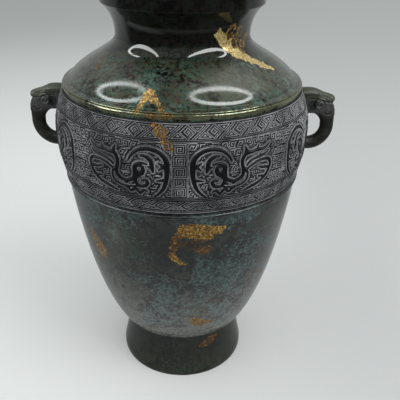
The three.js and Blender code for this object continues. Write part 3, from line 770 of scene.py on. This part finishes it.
RING_RADIUS = 12.35
RING_STRETCH = 1.06         # the ring is that much taller than wide
RING_SEGMENTS = 72
BAR_RADIUS = 4.5
BAR_SIDES = 24
CURL_CENTRE = (5.4, 15.4)
CURL_TURN = (-60, 600)      # where the curl starts and how far it turns, in degrees
CURL_REACH = (0.6, 3.4)     # its first radius, and what the radius grows by
FLANK = 4.6                 # half the thickness of the head, where the curls lie
VOXEL = 0.3
CARVING_DEPTH = 0.55


def eye_curl(side):
    """The raised curl on a flank of the head, which runs off towards the brow."""
    points, radii = [], []
    for share in np.linspace(0, 1, 44):
        turn = (CURL_TURN[0] + CURL_TURN[1] * share) * DEGREE
        reach = CURL_REACH[0] + CURL_REACH[1] * share
        points.append((CURL_CENTRE[0] - math.cos(turn) * reach, side * FLANK,
                       CURL_CENTRE[1] + math.sin(turn) * reach))
        radii.append(0.6 + 0.25 * math.sin(math.pi * share))
    return tube(points, radii, sides=10)


def ring_bar():
    """The round bar of the ring, bent to a slightly tall ring."""
    ring = bmesh.new()
    hoops = []
    for a in turns(RING_SEGMENTS):
        x, z = RING_RADIUS * math.sin(a), RING_RADIUS * RING_STRETCH * math.cos(a)
        out = Vector((x, 0, z / RING_STRETCH)).normalized()
        hoops.append([
            ring.verts.new(Vector((x, 0, z)) + out * (BAR_RADIUS * math.cos(t))
                           + Vector((0, BAR_RADIUS * math.sin(t), 0)))
            for t in turns(BAR_SIDES)
        ])
    skin(ring, hoops + hoops[:1])
    bmesh.ops.recalc_face_normals(ring, faces=ring.faces)
    return ring


def handle_parts():
    """Ring, head, cheek, jaw, crest, snout and curls, which are cast in one."""
    head = slab([(-6, 9.3), (7.6, 9.3), (11.6, 7.4), (14.6, 4.6), (16.0, 8.6), (15.6, 12.4), (14.4, 16.0),
                 (11.4, 19.2), (4, 21.9), (-6, 22.6)], 8.6)
    cheek = ball((7.2, 0, 14.6), (6.6, 4.45, 5.6))
    jaw = tube([(12.0, 0, -3), (12.15, 0, 0), (12.15, 0, 3.5), (11.8, 0, 7), (11.2, 0, 10.5), (10.4, 0, 14)],
               [4.4, 4.55, 4.7, 4.85, 4.9, 4.6], flat=0.96, sides=24)
    crest = tube([(-7, 0, 22.6), (-3, 0, 22.8), (0, 0, 22.8), (2.6, 0, 22.5), (5.0, 0, 22.0), (7.4, 0, 21.5),
                  (9.4, 0, 20.9), (11.2, 0, 20.0), (12.5, 0, 19.1)],
                 [2.95, 2.95, 2.9, 2.65, 2.1, 1.55, 1.6, 2.0, 2.2], flat=1.9, sides=28)
    snout = ball((12.9, 0, 18.6), (2.9, 4.1, 2.7), 0.5)
    return [ring_bar(), head, cheek, jaw, crest, snout, eye_curl(1), eye_curl(-1)]


# Lines carved in both flanks of the head: across, up, half width
HEAD_LINES = [
    [(-0.5, 12.6, 0.5), (1.6, 15.2, 0.6), (2.2, 18.0, 0.4)],
    [(8.6, 9.9, 0.4), (10.4, 8.6, 0.5), (12.2, 8.9, 0.5), (13.2, 10.6, 0.4)],
    [(11.2, 17.3, 0.3), (13.2, 16.8, 0.5), (15.6, 17.0, 0.5)],
    [(-1.0, 19.2, 0.45), (4.0, 19.0, 0.45), (9.0, 17.6, 0.4), (11.0, 16.8, 0.3)],
]


def make_handle(node, turned, finish):
    """One handle: its parts cast in one by a voxel remesh, then carved and laid on the barrel."""
    name = node + "_dressed"
    joined = bmesh.new()
    for part in handle_parts():
        scrap = mesh_of("part", part)
        joined.from_mesh(scrap)
        bpy.data.meshes.remove(scrap)
    mesh = mesh_of(name, joined)
    shape = add_object(name, mesh)
    remesh = shape.modifiers.new("cast", "REMESH")
    remesh.mode = "VOXEL"
    remesh.voxel_size = VOXEL
    soften = shape.modifiers.new("file", "SMOOTH")
    soften.factor = 0.5
    soften.iterations = 3
    evaluated = shape.evaluated_get(bpy.context.evaluated_depsgraph_get())
    cast = bpy.data.meshes.new_from_object(evaluated)
    shape.modifiers.clear()
    shape.data = cast
    bpy.data.meshes.remove(mesh)

    count = len(cast.vertices)
    points = np.empty(count * 3, np.float32)
    cast.vertices.foreach_get("co", points)
    points = points.reshape(-1, 3).astype(float)
    across, side, up = points.T
    flank = ease(2.2, 3.4, np.abs(side))
    carved = np.zeros(count)
    for run in HEAD_LINES:
        carved = np.maximum(carved, ease(-0.35, 0.45, distance_to_run(across, up, run)))
    carved *= flank
    side = side - np.sign(side) * carved * CARVING_DEPTH
    crown = ease(16.5, 20.0, up + across * 0.12) * (1 - carved)
    hollow = 1 - ease(1.5, 5.0, np.hypot(across - 0.5, (up - 15) * 0.8))

    # The back of the casting lies on the barrel
    x = across + RING_CENTRE_RADIUS
    z = up + RING_CENTRE_HEIGHT
    radius = np.hypot(x, side)
    wanted = np.maximum(radius, barrel_radius(z - BELLY_JOINT) + 0.05)
    x, side = x * wanted / radius, side * wanted / radius
    if turned:
        x, side = -x, -side
    cast.vertices.foreach_set("co", (np.stack([x, side, z], 1) * MM).ravel().astype(np.float32))
    write_fields(cast, {"crown": crown, "carved": np.maximum(carved, hollow * 0.8)})
    cast.shade_smooth()
    cast.update()
    dress(shape, node, finish)


# Finishes

class Value:
    """A number on its way through a material's nodes, which can be written in sums."""

    def __init__(self, finish, socket):
        self.finish = finish
        self.socket = socket

    def __add__(self, other):
        return self.finish.sum("ADD", self, other)

    def __sub__(self, other):
        return self.finish.sum("SUBTRACT", self, other)

    def __rsub__(self, other):
        return self.finish.sum("SUBTRACT", other, self)

    def __mul__(self, other):
        return self.finish.sum("MULTIPLY", self, other)

    __radd__ = __add__
    __rmul__ = __mul__


class Finish:
    """The nodes of one material, or of the world."""

    def __init__(self, holder):
        holder.use_nodes = True
        self.holder = holder
        self.tree = holder.node_tree
        self.tree.nodes.clear()

    def node(self, kind, settings=None, inputs=None, output=0):
        """Adds a node with its settings and the values or links of its sockets, and gives one output."""
        node = self.tree.nodes.new("ShaderNode" + kind)
        for key, value in (settings or {}).items():
            if key == "stops":
                elements = node.color_ramp.elements
                while len(elements) < len(value):
                    elements.new(0.5)
                for element, (place, colour) in zip(elements, value):
                    element.position = place
                    element.color = (*colour, 1)
            else:
                setattr(node, key, value)
        for key, value in (inputs or {}).items():
            if isinstance(value, Value):
                self.tree.links.new(value.socket, node.inputs[key])
            else:
                node.inputs[key].default_value = value
        return Value(self, node.outputs[output]) if node.outputs else None

    def sum(self, operation, *values):
        return self.node("Math", {"operation": operation}, dict(enumerate(values)))

    def blend(self, share, first, second):
        """The first colour where share is 0, the second where it is 1."""
        first, second = [c if isinstance(c, Value) else (*c, 1) for c in (first, second)]
        return self.node("Mix", {"data_type": "RGBA"}, {0: share, 6: first, 7: second}, 2)

    def step(self, low, high, value):
        """A soft step from 0 at low to 1 at high."""
        return self.node("MapRange", {"interpolation_type": "SMOOTHSTEP"},
                         {"Value": value, "From Min": low, "From Max": high})

    def place(self):
        return self.node("TexCoord", output="Object")

    def parts(self, vector):
        """The share of a place or a direction to the right, ahead and up."""
        split = self.node("SeparateXYZ", {}, {0: vector}).socket.node
        return [Value(self, output) for output in split.outputs]

    def height(self):
        """Height above the table, in metres."""
        return self.parts(self.place())[2]

    def between(self, low, high, rise, fall):
        """1 between two heights in mm, softly reached within rise and left within fall."""
        level = self.height()
        reached = self.step(low * MM, (low + rise) * MM, level)
        return reached * (1 - self.step((high - fall) * MM, high * MM, level))

    def noise(self, per_metre, detail=4.0, roughness=0.55, distortion=0.0):
        return self.node("TexNoise", {}, {"Vector": self.place(), "Scale": per_metre, "Detail": detail,
                                          "Roughness": roughness, "Distortion": distortion})

    def field(self, name):
        """Numbers that were written on the points of the mesh."""
        return self.node("Attribute", {"attribute_name": name}, output="Fac")

    def bump(self, height, strength, distance):
        return self.node("Bump", {}, {"Height": height, "Strength": strength, "Distance": distance})

    def surface(self, **sockets):
        """Closes the material with a surface and gives the material."""
        names = {"colour": "Base Color", "metal": "Metallic", "rough": "Roughness", "normal": "Normal",
                 "specular": "Specular IOR Level"}
        shader = self.node("BsdfPrincipled", {}, {
            names[key]: (*value, 1) if isinstance(value, tuple) else value for key, value in sockets.items()
        })
        self.node("OutputMaterial", {}, {"Surface": shader})
        return self.holder


def new_finish(name):
    return Finish(bpy.data.materials.new(name))


GOLD_STOPS = [(0.0, (0.045, 0.020, 0.008)), (0.35, (0.17, 0.080, 0.018)), (0.62, (0.42, 0.25, 0.045)),
              (1.0, (0.88, 0.72, 0.34))]


def gold_leaf(f):
    """Mask, colour and thickness of the gold leaf that is laid on a casting."""
    torn = f.noise(330, 5, 0.62)
    speck = f.noise(1500, 3, 0.6)
    kept = f.step(0.0, 0.45, f.field("leaf_depth") + (torn - 0.5) * 6.0)
    unbroken = f.step(-0.05, 0.05, speck * 0.5 + torn * 0.5 - 0.36 - f.field("leaf_worn") * 0.25)
    thickness = f.noise(800, 4, 0.7)
    shade = f.field("leaf_bright") * 0.55 + (thickness - 0.5) * 2.4 + 0.12
    return kept * unbroken, f.node("ValToRGB", {"stops": GOLD_STOPS}, {0: shade}), thickness


def patina(name, tones, gloss, grain, sheen=0.5, with_leaf=True, fleck_scale=520, upper_tones=None,
           turning=(0, 1), rubbed=None, polished=None, dull_from=None):
    """Dark lacquered bronze with broken green and brown flecks. Heights are in mm.

    The tones turn into the upper ones between two heights. A moulding between two heights is rubbed to the
    metal. The lacquer is glossier between two others, and duller from one height up. Clouds written on the
    mesh make the colour darker or paler; the pale ones are partly painted glow and painted reflection.
    """
    f = new_finish(name)
    drift = f.noise(30, 3, 0.5, 0.9)
    cloud = f.noise(75, 4, 0.6, 0.6)
    curd = f.noise(fleck_scale * 0.37, 4, 0.6, 0.4)
    fleck = f.noise(fleck_scale, 4, 0.65, 0.2)
    speck = f.noise(fleck_scale * 0.95, 5, 0.72, 0.3)
    dust = f.noise(1900, 2, 0.6)
    if upper_tones:
        turned = f.step(turning[0] * MM, turning[1] * MM, f.height() + (cloud - 0.5) * 0.02)
        tones = {key: f.blend(turned, tones[key], upper_tones[key]) for key in tones}
    teal = f.step(0.50, 0.58, (1 - drift) * 0.3 + cloud * 0.3 + fleck * 0.4)
    pale_speck = f.step(0.53, 0.61, speck) * f.step(0.44, 0.55, cloud * 0.5 + (1 - drift) * 0.5) * 0.7
    layers = [
        ("slate", f.step(0.44, 0.56, cloud * 0.5 + curd * 0.5)),
        ("brown", f.step(0.46, 0.56, drift * 0.5 + curd * 0.5)),
        ("olive", f.step(0.47, 0.58, cloud * 0.4 + fleck * 0.6)),
        ("green", f.step(0.48, 0.56, drift * 0.3 + curd * 0.35 + fleck * 0.35)),
        ("teal", teal),
        ("black", f.step(0.54, 0.64, dust * 0.35 + fleck * 0.3 + (1 - curd) * 0.35)),
        ("black", (1 - f.step(0.41, 0.49, speck)) * 0.7),
        ("speck", pale_speck),
    ]
    colour = tones["black"]
    for key, mask in layers:
        colour = f.blend(mask, colour, tones[key])
    # Dark clouds blend towards black; pale ones towards a pale grey that is partly painted glow round the
    # ring lamps' highlights and painted reflection of the table
    tone = f.field("cloud_tone") * (0.3 + cloud * 0.8 + fleck * 0.6)
    colour = f.blend(f.step(0.0, 1.1, tone * -1) * 0.9, colour, tones["black"])
    colour = f.blend(f.step(0.0, 1.3, tone) * 0.6, colour, PALE_PATINA_AND_PAINTED_LIGHT)
    rough = gloss + (fleck - 0.5) * 0.08 + teal * 0.04
    thick = fleck * 0.7 + dust * 0.3
    metal = 0.0
    if polished:
        glossier = f.between(*polished, 4, 4)
        rough = rough - glossier * gloss * 0.75
        thick = thick * (1 - glossier * 0.8)
    if dull_from:
        rough = rough + f.step(dull_from * MM, (dull_from + 0.5) * MM, f.height()) * 0.3
    if rubbed:
        bead = f.between(rubbed[0] - 0.3, rubbed[1], 0.6, 0.3) * f.step(0.40, 0.56, cloud * 0.5 + fleck * 0.5)
        colour = f.blend(bead, colour, RUBBED_BRONZE)
        rough = rough + bead * 0.05
        metal = bead * 0.75
    if with_leaf:
        mask, gold, thickness = gold_leaf(f)
        colour = f.blend(mask, colour, gold)
        rough = rough + mask * 0.2
        metal = f.sum("MAXIMUM", metal, mask * 0.55)
        thick = thick + mask * (0.4 + thickness * 0.6)
    normal = f.bump(thick, grain, 0.0002)
    return f.surface(colour=colour, rough=rough, metal=metal, normal=normal, specular=sheen)


RUBBED_BRONZE = (0.20, 0.21, 0.125)
# Colour of the pale clouds: pale patina, and painted glow and painted reflection where they stand for light
PALE_PATINA_AND_PAINTED_LIGHT = (0.165, 0.170, 0.140)
# Low on the belly: paler, greyer tones, partly painted reflection of the pale table over the patina
LOW_BELLY_TONES_WITH_PAINTED_TABLE_REFLECTION = {
    "black": (0.046, 0.046, 0.050), "slate": (0.118, 0.121, 0.121), "brown": (0.172, 0.142, 0.110),
    "olive": (0.200, 0.176, 0.133), "green": (0.139, 0.156, 0.143), "teal": (0.128, 0.172, 0.164),
    "speck": (0.168, 0.210, 0.202),
}
HIGH_BELLY_TONES = {
    "black": (0.0015, 0.0015, 0.003), "slate": (0.007, 0.008, 0.012), "brown": (0.026, 0.017, 0.009),
    "olive": (0.027, 0.022, 0.011), "green": (0.015, 0.028, 0.022), "teal": (0.034, 0.066, 0.063),
    "speck": (0.080, 0.128, 0.124),
}
SHOULDER_TONES = {
    "black": (0.003, 0.003, 0.003), "slate": (0.028, 0.031, 0.027), "brown": (0.082, 0.062, 0.034),
    "olive": (0.088, 0.084, 0.054), "green": (0.046, 0.074, 0.050), "teal": (0.068, 0.145, 0.108),
    "speck": (0.125, 0.180, 0.145),
}
DARK_TONES = {
    "black": (0.0022, 0.0021, 0.0024), "slate": (0.0046, 0.0046, 0.0046), "brown": (0.0125, 0.0088, 0.0056),
    "olive": (0.0120, 0.0104, 0.0070), "green": (0.0072, 0.0092, 0.0076), "teal": (0.008, 0.013, 0.012),
    "speck": (0.014, 0.020, 0.017),
}
# Upper foot: patina made darker as painted shade under the belly's overhang
FOOT_TONES_IN_PAINTED_SHADE = {
    "black": (0.002, 0.002, 0.002), "slate": (0.006, 0.006, 0.006), "brown": (0.018, 0.012, 0.007),
    "olive": (0.020, 0.017, 0.009), "green": (0.010, 0.015, 0.009), "teal": (0.010, 0.020, 0.016),
    "speck": (0.026, 0.032, 0.024),
}
# Foot rim: paler olive patina, partly a painted highlight along the bottom edge
FOOT_RIM_TONES_WITH_PAINTED_HIGHLIGHT = {
    "black": (0.005, 0.005, 0.004), "slate": (0.010, 0.011, 0.009), "brown": (0.024, 0.019, 0.009),
    "olive": (0.030, 0.031, 0.016), "green": (0.018, 0.026, 0.014), "teal": (0.016, 0.028, 0.020),
    "speck": (0.034, 0.038, 0.024),
}


def relief_finish():
    """Matt grey rubbed into the ground, with the raised strokes black and smooth. The grey on the raised
    lines and on the contour round each stroke is partly painted highlight.
    """
    f = new_finish("rubbed_relief")
    stroke, fine, seat, inside = f.field("stroke"), f.field("fine"), f.field("seat"), f.field("inside")
    cloud = f.noise(60, 4, 0.6, 0.4)
    dust = f.noise(1700, 4, 0.65)
    low = f.blend(f.step(0.40, 0.60, cloud), (0.004, 0.004, 0.005), (0.011, 0.011, 0.012))
    powder = f.step(0.40, 0.60, dust * 0.4 + cloud * 0.6)
    # Grey of the raised lines and of the contour round the strokes: partly a rubbed finish, partly painted
    # highlight
    high = f.blend(powder, (0.13, 0.13, 0.137), (0.42, 0.42, 0.44))
    colour = f.blend(f.step(0.2, 0.75, fine), low, high)
    colour = f.blend(f.step(0.25, 0.75, stroke), colour, (0.0060, 0.0065, 0.0062))
    colour = f.blend(seat * 0.9, colour, (0.008, 0.008, 0.008))
    colour = f.blend(inside * 0.95, colour, (0.009, 0.009, 0.009))
    rough = 0.68 - stroke * 0.28 - seat * 0.25 + (dust - 0.5) * 0.1
    mask, gold, _ = gold_leaf(f)
    mask = mask * (1 - inside)
    colour = f.blend(mask, colour, gold)
    normal = f.bump(dust * (1 - stroke * 0.8), 0.25, 0.00015)
    return f.surface(colour=colour, rough=rough - mask * 0.15, metal=mask * 0.5, normal=normal, specular=0.15)


def handle_finish():
    """Near-black satin patina, greyer on the head, partly as painted sheen, and rubbed green along its crown.
    """
    f = new_finish("handle_patina")
    crown, carved = f.field("crown"), f.field("carved")
    cloud = f.noise(160, 4, 0.6, 0.4)
    dust = f.noise(1500, 4, 0.6)
    dark = f.blend(f.step(0.4, 0.65, cloud), (0.012, 0.012, 0.010), (0.028, 0.029, 0.021))
    # Greyer on the head: partly the patina's colour, partly painted sheen
    head = f.step((RING_CENTRE_HEIGHT + 5) * MM, (RING_CENTRE_HEIGHT + 13) * MM, f.height())
    flank = f.blend(f.step(0.4, 0.6, dust), (0.052, 0.051, 0.053), (0.092, 0.088, 0.092))
    dark = f.blend(head * 0.8, dark, flank)
    rubbed = f.blend(f.step(0.42, 0.60, dust), (0.034, 0.041, 0.024), (0.074, 0.089, 0.052))
    colour = f.blend(crown * f.step(0.25, 0.6, cloud * 0.7 + dust * 0.3), dark, rubbed)
    colour = f.blend(f.step(0.1, 0.8, carved) * 0.85, colour, (0.004, 0.004, 0.004))
    rough = 0.45 + carved * 0.3 + (dust - 0.5) * 0.15
    normal = f.bump(dust * 0.5 + cloud * 0.5, 0.3, 0.0002)
    return f.surface(colour=colour, rough=rough, normal=normal, specular=0.3)


def bare_bronze():
    f = new_finish("bare_bronze")
    cloud = f.noise(220, 4, 0.6, 0.6)
    scratch = f.noise(2600, 3, 0.6, 1.5)
    colour = f.blend(f.step(0.35, 0.7, cloud), (0.30, 0.19, 0.075), (0.16, 0.105, 0.05))
    normal = f.bump(scratch, 0.3, 0.0001)
    return f.surface(colour=colour, rough=0.36 + (cloud - 0.5) * 0.2, metal=0.9, normal=normal)


def solder_finish():
    f = new_finish("soft_solder")
    cloud = f.noise(300, 4, 0.6, 0.4)
    colour = f.blend(cloud, (0.30, 0.30, 0.29), (0.48, 0.48, 0.47))
    normal = f.bump(cloud, 0.4, 0.0003)
    return f.surface(colour=colour, rough=0.42 + (cloud - 0.5) * 0.2, metal=0.85, normal=normal)


# Floor, light and room

def make_floor():
    bpy.ops.mesh.primitive_circle_add(vertices=128, radius=9.0, fill_type="NGON", location=(0, 0, 0))
    floor = bpy.context.active_object
    floor.name = "floor"
    f = new_finish("pale_floor")
    place = f.place()
    reach = f.node("VectorMath", {"operation": "LENGTH"}, {0: place}, "Value")
    across, ahead, _ = f.parts(place)
    # The table is darker to the right of the vase and in front of it: painted shade that holds back the soft
    # boxes' light there
    near = f.blend(f.step(-0.05, 0.2, across) * 0.65, (0.86, 0.875, 0.87), (0.48, 0.49, 0.49))
    painted_shade_before_vase = 1 - f.step(-0.34, -0.06, ahead)
    near = f.blend(painted_shade_before_vase * 0.95, near, (0.60, 0.61, 0.605))
    far = f.blend(f.step(-0.7, 0.7, across), (0.48, 0.50, 0.495), (0.565, 0.58, 0.575))
    colour = f.blend(f.step(0.15, 1.6, reach), near, far)

    # In the lacquer the table shows pale only near the foot, on the left and behind the vase
    pale = f.sum("MAXIMUM", 1 - f.step(0.20, 0.42, reach), f.step(0.02, 0.25, ahead))
    pale = f.sum("MAXIMUM", pale, (1 - f.step(-0.28, -0.10, across)) * (1 - f.step(0.36, 0.48, reach)))
    seen = f.blend(pale, (0.03, 0.03, 0.03), (0.50, 0.51, 0.51))
    mirrored = f.node("LightPath", output="Is Glossy Ray")
    f.surface(colour=f.blend(mirrored, colour, seen), rough=0.6, specular=0.2)
    floor.data.materials.append(f.holder)


def make_room():
    """Even light from all round. Reflections show a pale wall behind, dark low down elsewhere, and a dim
    ceiling."""
    world = bpy.data.worlds.new("room")
    bpy.context.scene.world = world
    f = Finish(world)
    _, ahead, up = f.parts(f.node("TexCoord", output="Generated"))
    mirrored = f.node("LightPath", output="Is Glossy Ray")
    light = 0.56 + f.step(0.2, 0.95, up) * 0.2
    low = 1 - f.step(0.08, 0.4, up)
    behind = f.step(-0.1, 0.35, ahead)
    before = f.step(0.3, 0.9, ahead * -1)
    seen = low * (0.06 + behind * 0.44) + (1 - low) * (0.47 - before * 0.17 - f.step(0.6, 0.95, up) * 0.2)
    level = light * (1 - mirrored) + seen * mirrored
    room = f.node("Background", {}, {"Color": (0.975, 1.0, 0.995, 1), "Strength": level})
    wall = f.node("Background", {}, {"Color": (0.49, 0.515, 0.51, 1), "Strength": 1.0})
    camera_ray = f.node("LightPath", output="Is Camera Ray")
    sky = f.node("MixShader", {}, {0: camera_ray, 1: room, 2: wall})
    f.node("OutputWorld", {}, {"Surface": sky})


# Highlights of the ring lamps on the shoulder in the picture: centre, half width and half height in pixels,
# tilt in degrees, width of the stroke in pixels, strength of the lamp
RING_HIGHLIGHTS = {
    "ring_lamp_left": (122.0, 92.2, 23.5, 8.8, 2, 3.4, 10.0),
    "ring_lamp_right": (221.0, 96.2, 29.5, 7.6, 0, 3.4, 12.0),
}
RING_LAMP_STEPS = 72
LAMP_REACH = 0.9            # metres from the shoulder

# Place and size in metres, power in watts
SOFT_BOXES = {
    "soft_box_left": ((-0.9, -0.5, 1.6), 1.2, 3.0),
    "soft_box_front": ((0.1, -1.0, 1.6), 1.4, 3.5),
    "soft_box_right": ((1.1, -0.7, 1.35), 1.1, 10.5),
}
LIT_PLACE = Vector((0, 0, 0.14))


def mirrored_place(pixel_x, pixel_y):
    """Where a lamp stands that is mirrored in the shoulder at a pixel of the picture."""
    camera = bpy.context.scene.camera
    focus = camera.data.lens / camera.data.sensor_width * PICTURE_SIZE
    ray = Vector((pixel_x - PICTURE_SIZE / 2, PICTURE_SIZE / 2 - pixel_y, -focus)).normalized()
    ray = np.array(camera.matrix_world.to_3x3() @ ray)
    eye = np.array(camera.matrix_world.translation)
    along = np.linspace(0.2, 0.7, 5001)[:, None]
    points = eye + ray * along
    side_radii, side_heights = UPPER_SIDE.T
    radii = np.interp(points[:, 2] / MM, side_heights, side_radii, left=0, right=0) * MM
    hit = points[np.argmax(np.hypot(points[:, 0], points[:, 1]) < radii)]
    fall = np.interp(hit[2] / MM, side_heights, np.gradient(side_radii, side_heights))
    normal = np.array([hit[0], hit[1], -fall * math.hypot(hit[0], hit[1])])
    normal /= np.linalg.norm(normal)
    mirrored = ray - 2 * (ray @ normal) * normal
    return Vector(hit + mirrored * LAMP_REACH)


def ring_lamp(name, centre_x, centre_y, half_width, half_height, tilt, stroke, strength):
    """A lamp whose mirror image on the shoulder is an ellipse of the picture."""
    lean = tilt * DEGREE
    mesh = bmesh.new()
    edges = []
    for offset in (-stroke / 2, stroke / 2):
        edge = []
        for turn in turns(RING_LAMP_STEPS):
            u, v = (half_width + offset) * math.cos(turn), (half_height + offset) * math.sin(turn)
            x = centre_x + u * math.cos(lean) - v * math.sin(lean)
            y = centre_y + u * math.sin(lean) + v * math.cos(lean)
            edge.append(mesh.verts.new(mirrored_place(x, y)))
        edges.append(edge)
    skin(mesh, edges)
    data = mesh_of(name, mesh)
    lamp = add_object(name, data)

    # The lamp shows in the first mirroring only, not in what one side of the neck mirrors of the other
    f = new_finish(name + "_glow")
    first_mirroring = f.sum("LESS_THAN", f.node("LightPath", output="Ray Depth"), 1.5)
    glow = f.node("Emission", {}, {"Color": (0.96, 1.0, 1.0, 1), "Strength": first_mirroring * strength})
    f.node("OutputMaterial", {}, {"Surface": glow})
    data.materials.append(f.holder)
    lamp.visible_camera = False
    lamp.visible_diffuse = False
    lamp.visible_transmission = False
    lamp.visible_shadow = False


def soft_box(name, place, size, power):
    data = bpy.data.lights.new(name, "AREA")
    data.shape = "SQUARE"
    data.size = size
    data.energy = power
    lamp = add_object(name, data)
    lamp.location = place
    lamp.rotation_euler = (LIT_PLACE - Vector(place)).to_track_quat("-Z", "Y").to_euler()
    lamp.visible_glossy = False


make_camera()
make_floor()
make_room()
for name, highlight in RING_HIGHLIGHTS.items():
    ring_lamp(name, *highlight)
for name, box in SOFT_BOXES.items():
    soft_box(name, *box)

# The belly turns from the paler low tones, partly painted reflection of the table, to darker ones upwards
belly_finish = patina("belly_patina_and_painted_reflection", LOW_BELLY_TONES_WITH_PAINTED_TABLE_REFLECTION, 0.14, 0.25, sheen=0.55, upper_tones=HIGH_BELLY_TONES,
                      turning=(48, 126), dull_from=BELLY_RIM_BASE - 0.5)
# Its pale clouds on the shoulder are painted glow round the ring lamps' highlights
shoulder_finish = patina("shoulder_patina_and_painted_glow", SHOULDER_TONES, 0.10, 0.2, fleck_scale=430,
                         upper_tones=DARK_TONES, turning=(231, 252), polished=(234, 252),
                         rubbed=(BAND_JOINT + GROOVE, BAND_JOINT + SHELF_RISE - 0.6))
# The foot darkens upwards as painted shade under the belly, from a rim that is partly painted highlight
foot_finish = patina("foot_patina_and_painted_light", FOOT_RIM_TONES_WITH_PAINTED_HIGHLIGHT, 0.12, 0.15, upper_tones=FOOT_TONES_IN_PAINTED_SHADE, turning=(4, 24))

casting("foot_ring", foot_outline(), foot_finish)
casting("belly", belly_outline(), belly_finish)
casting("shoulder", shoulder_outline(), shoulder_finish)
casting("neck_and_mouth", neck_outline(), shoulder_finish)
make_band(relief_finish())

cast_handle = handle_finish()
make_handle("right_handle", False, cast_handle)
make_handle("left_handle", True, cast_handle)

rivet_bronze = bare_bronze()
solder = solder_finish()
plate_finish = patina("plate_patina", DARK_TONES, 0.4, 0.3, with_leaf=False)
for node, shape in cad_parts.items():
    if "rivet" in node or "washer" in node:
        shape.material_slots[0].material = rivet_bronze
    elif node == "base_solder":
        shape.material_slots[0].material = solder
    elif node == "base_plate":
        shape.material_slots[0].material = plate_finish

bpy.context.scene.view_settings.view_transform = "Standard"
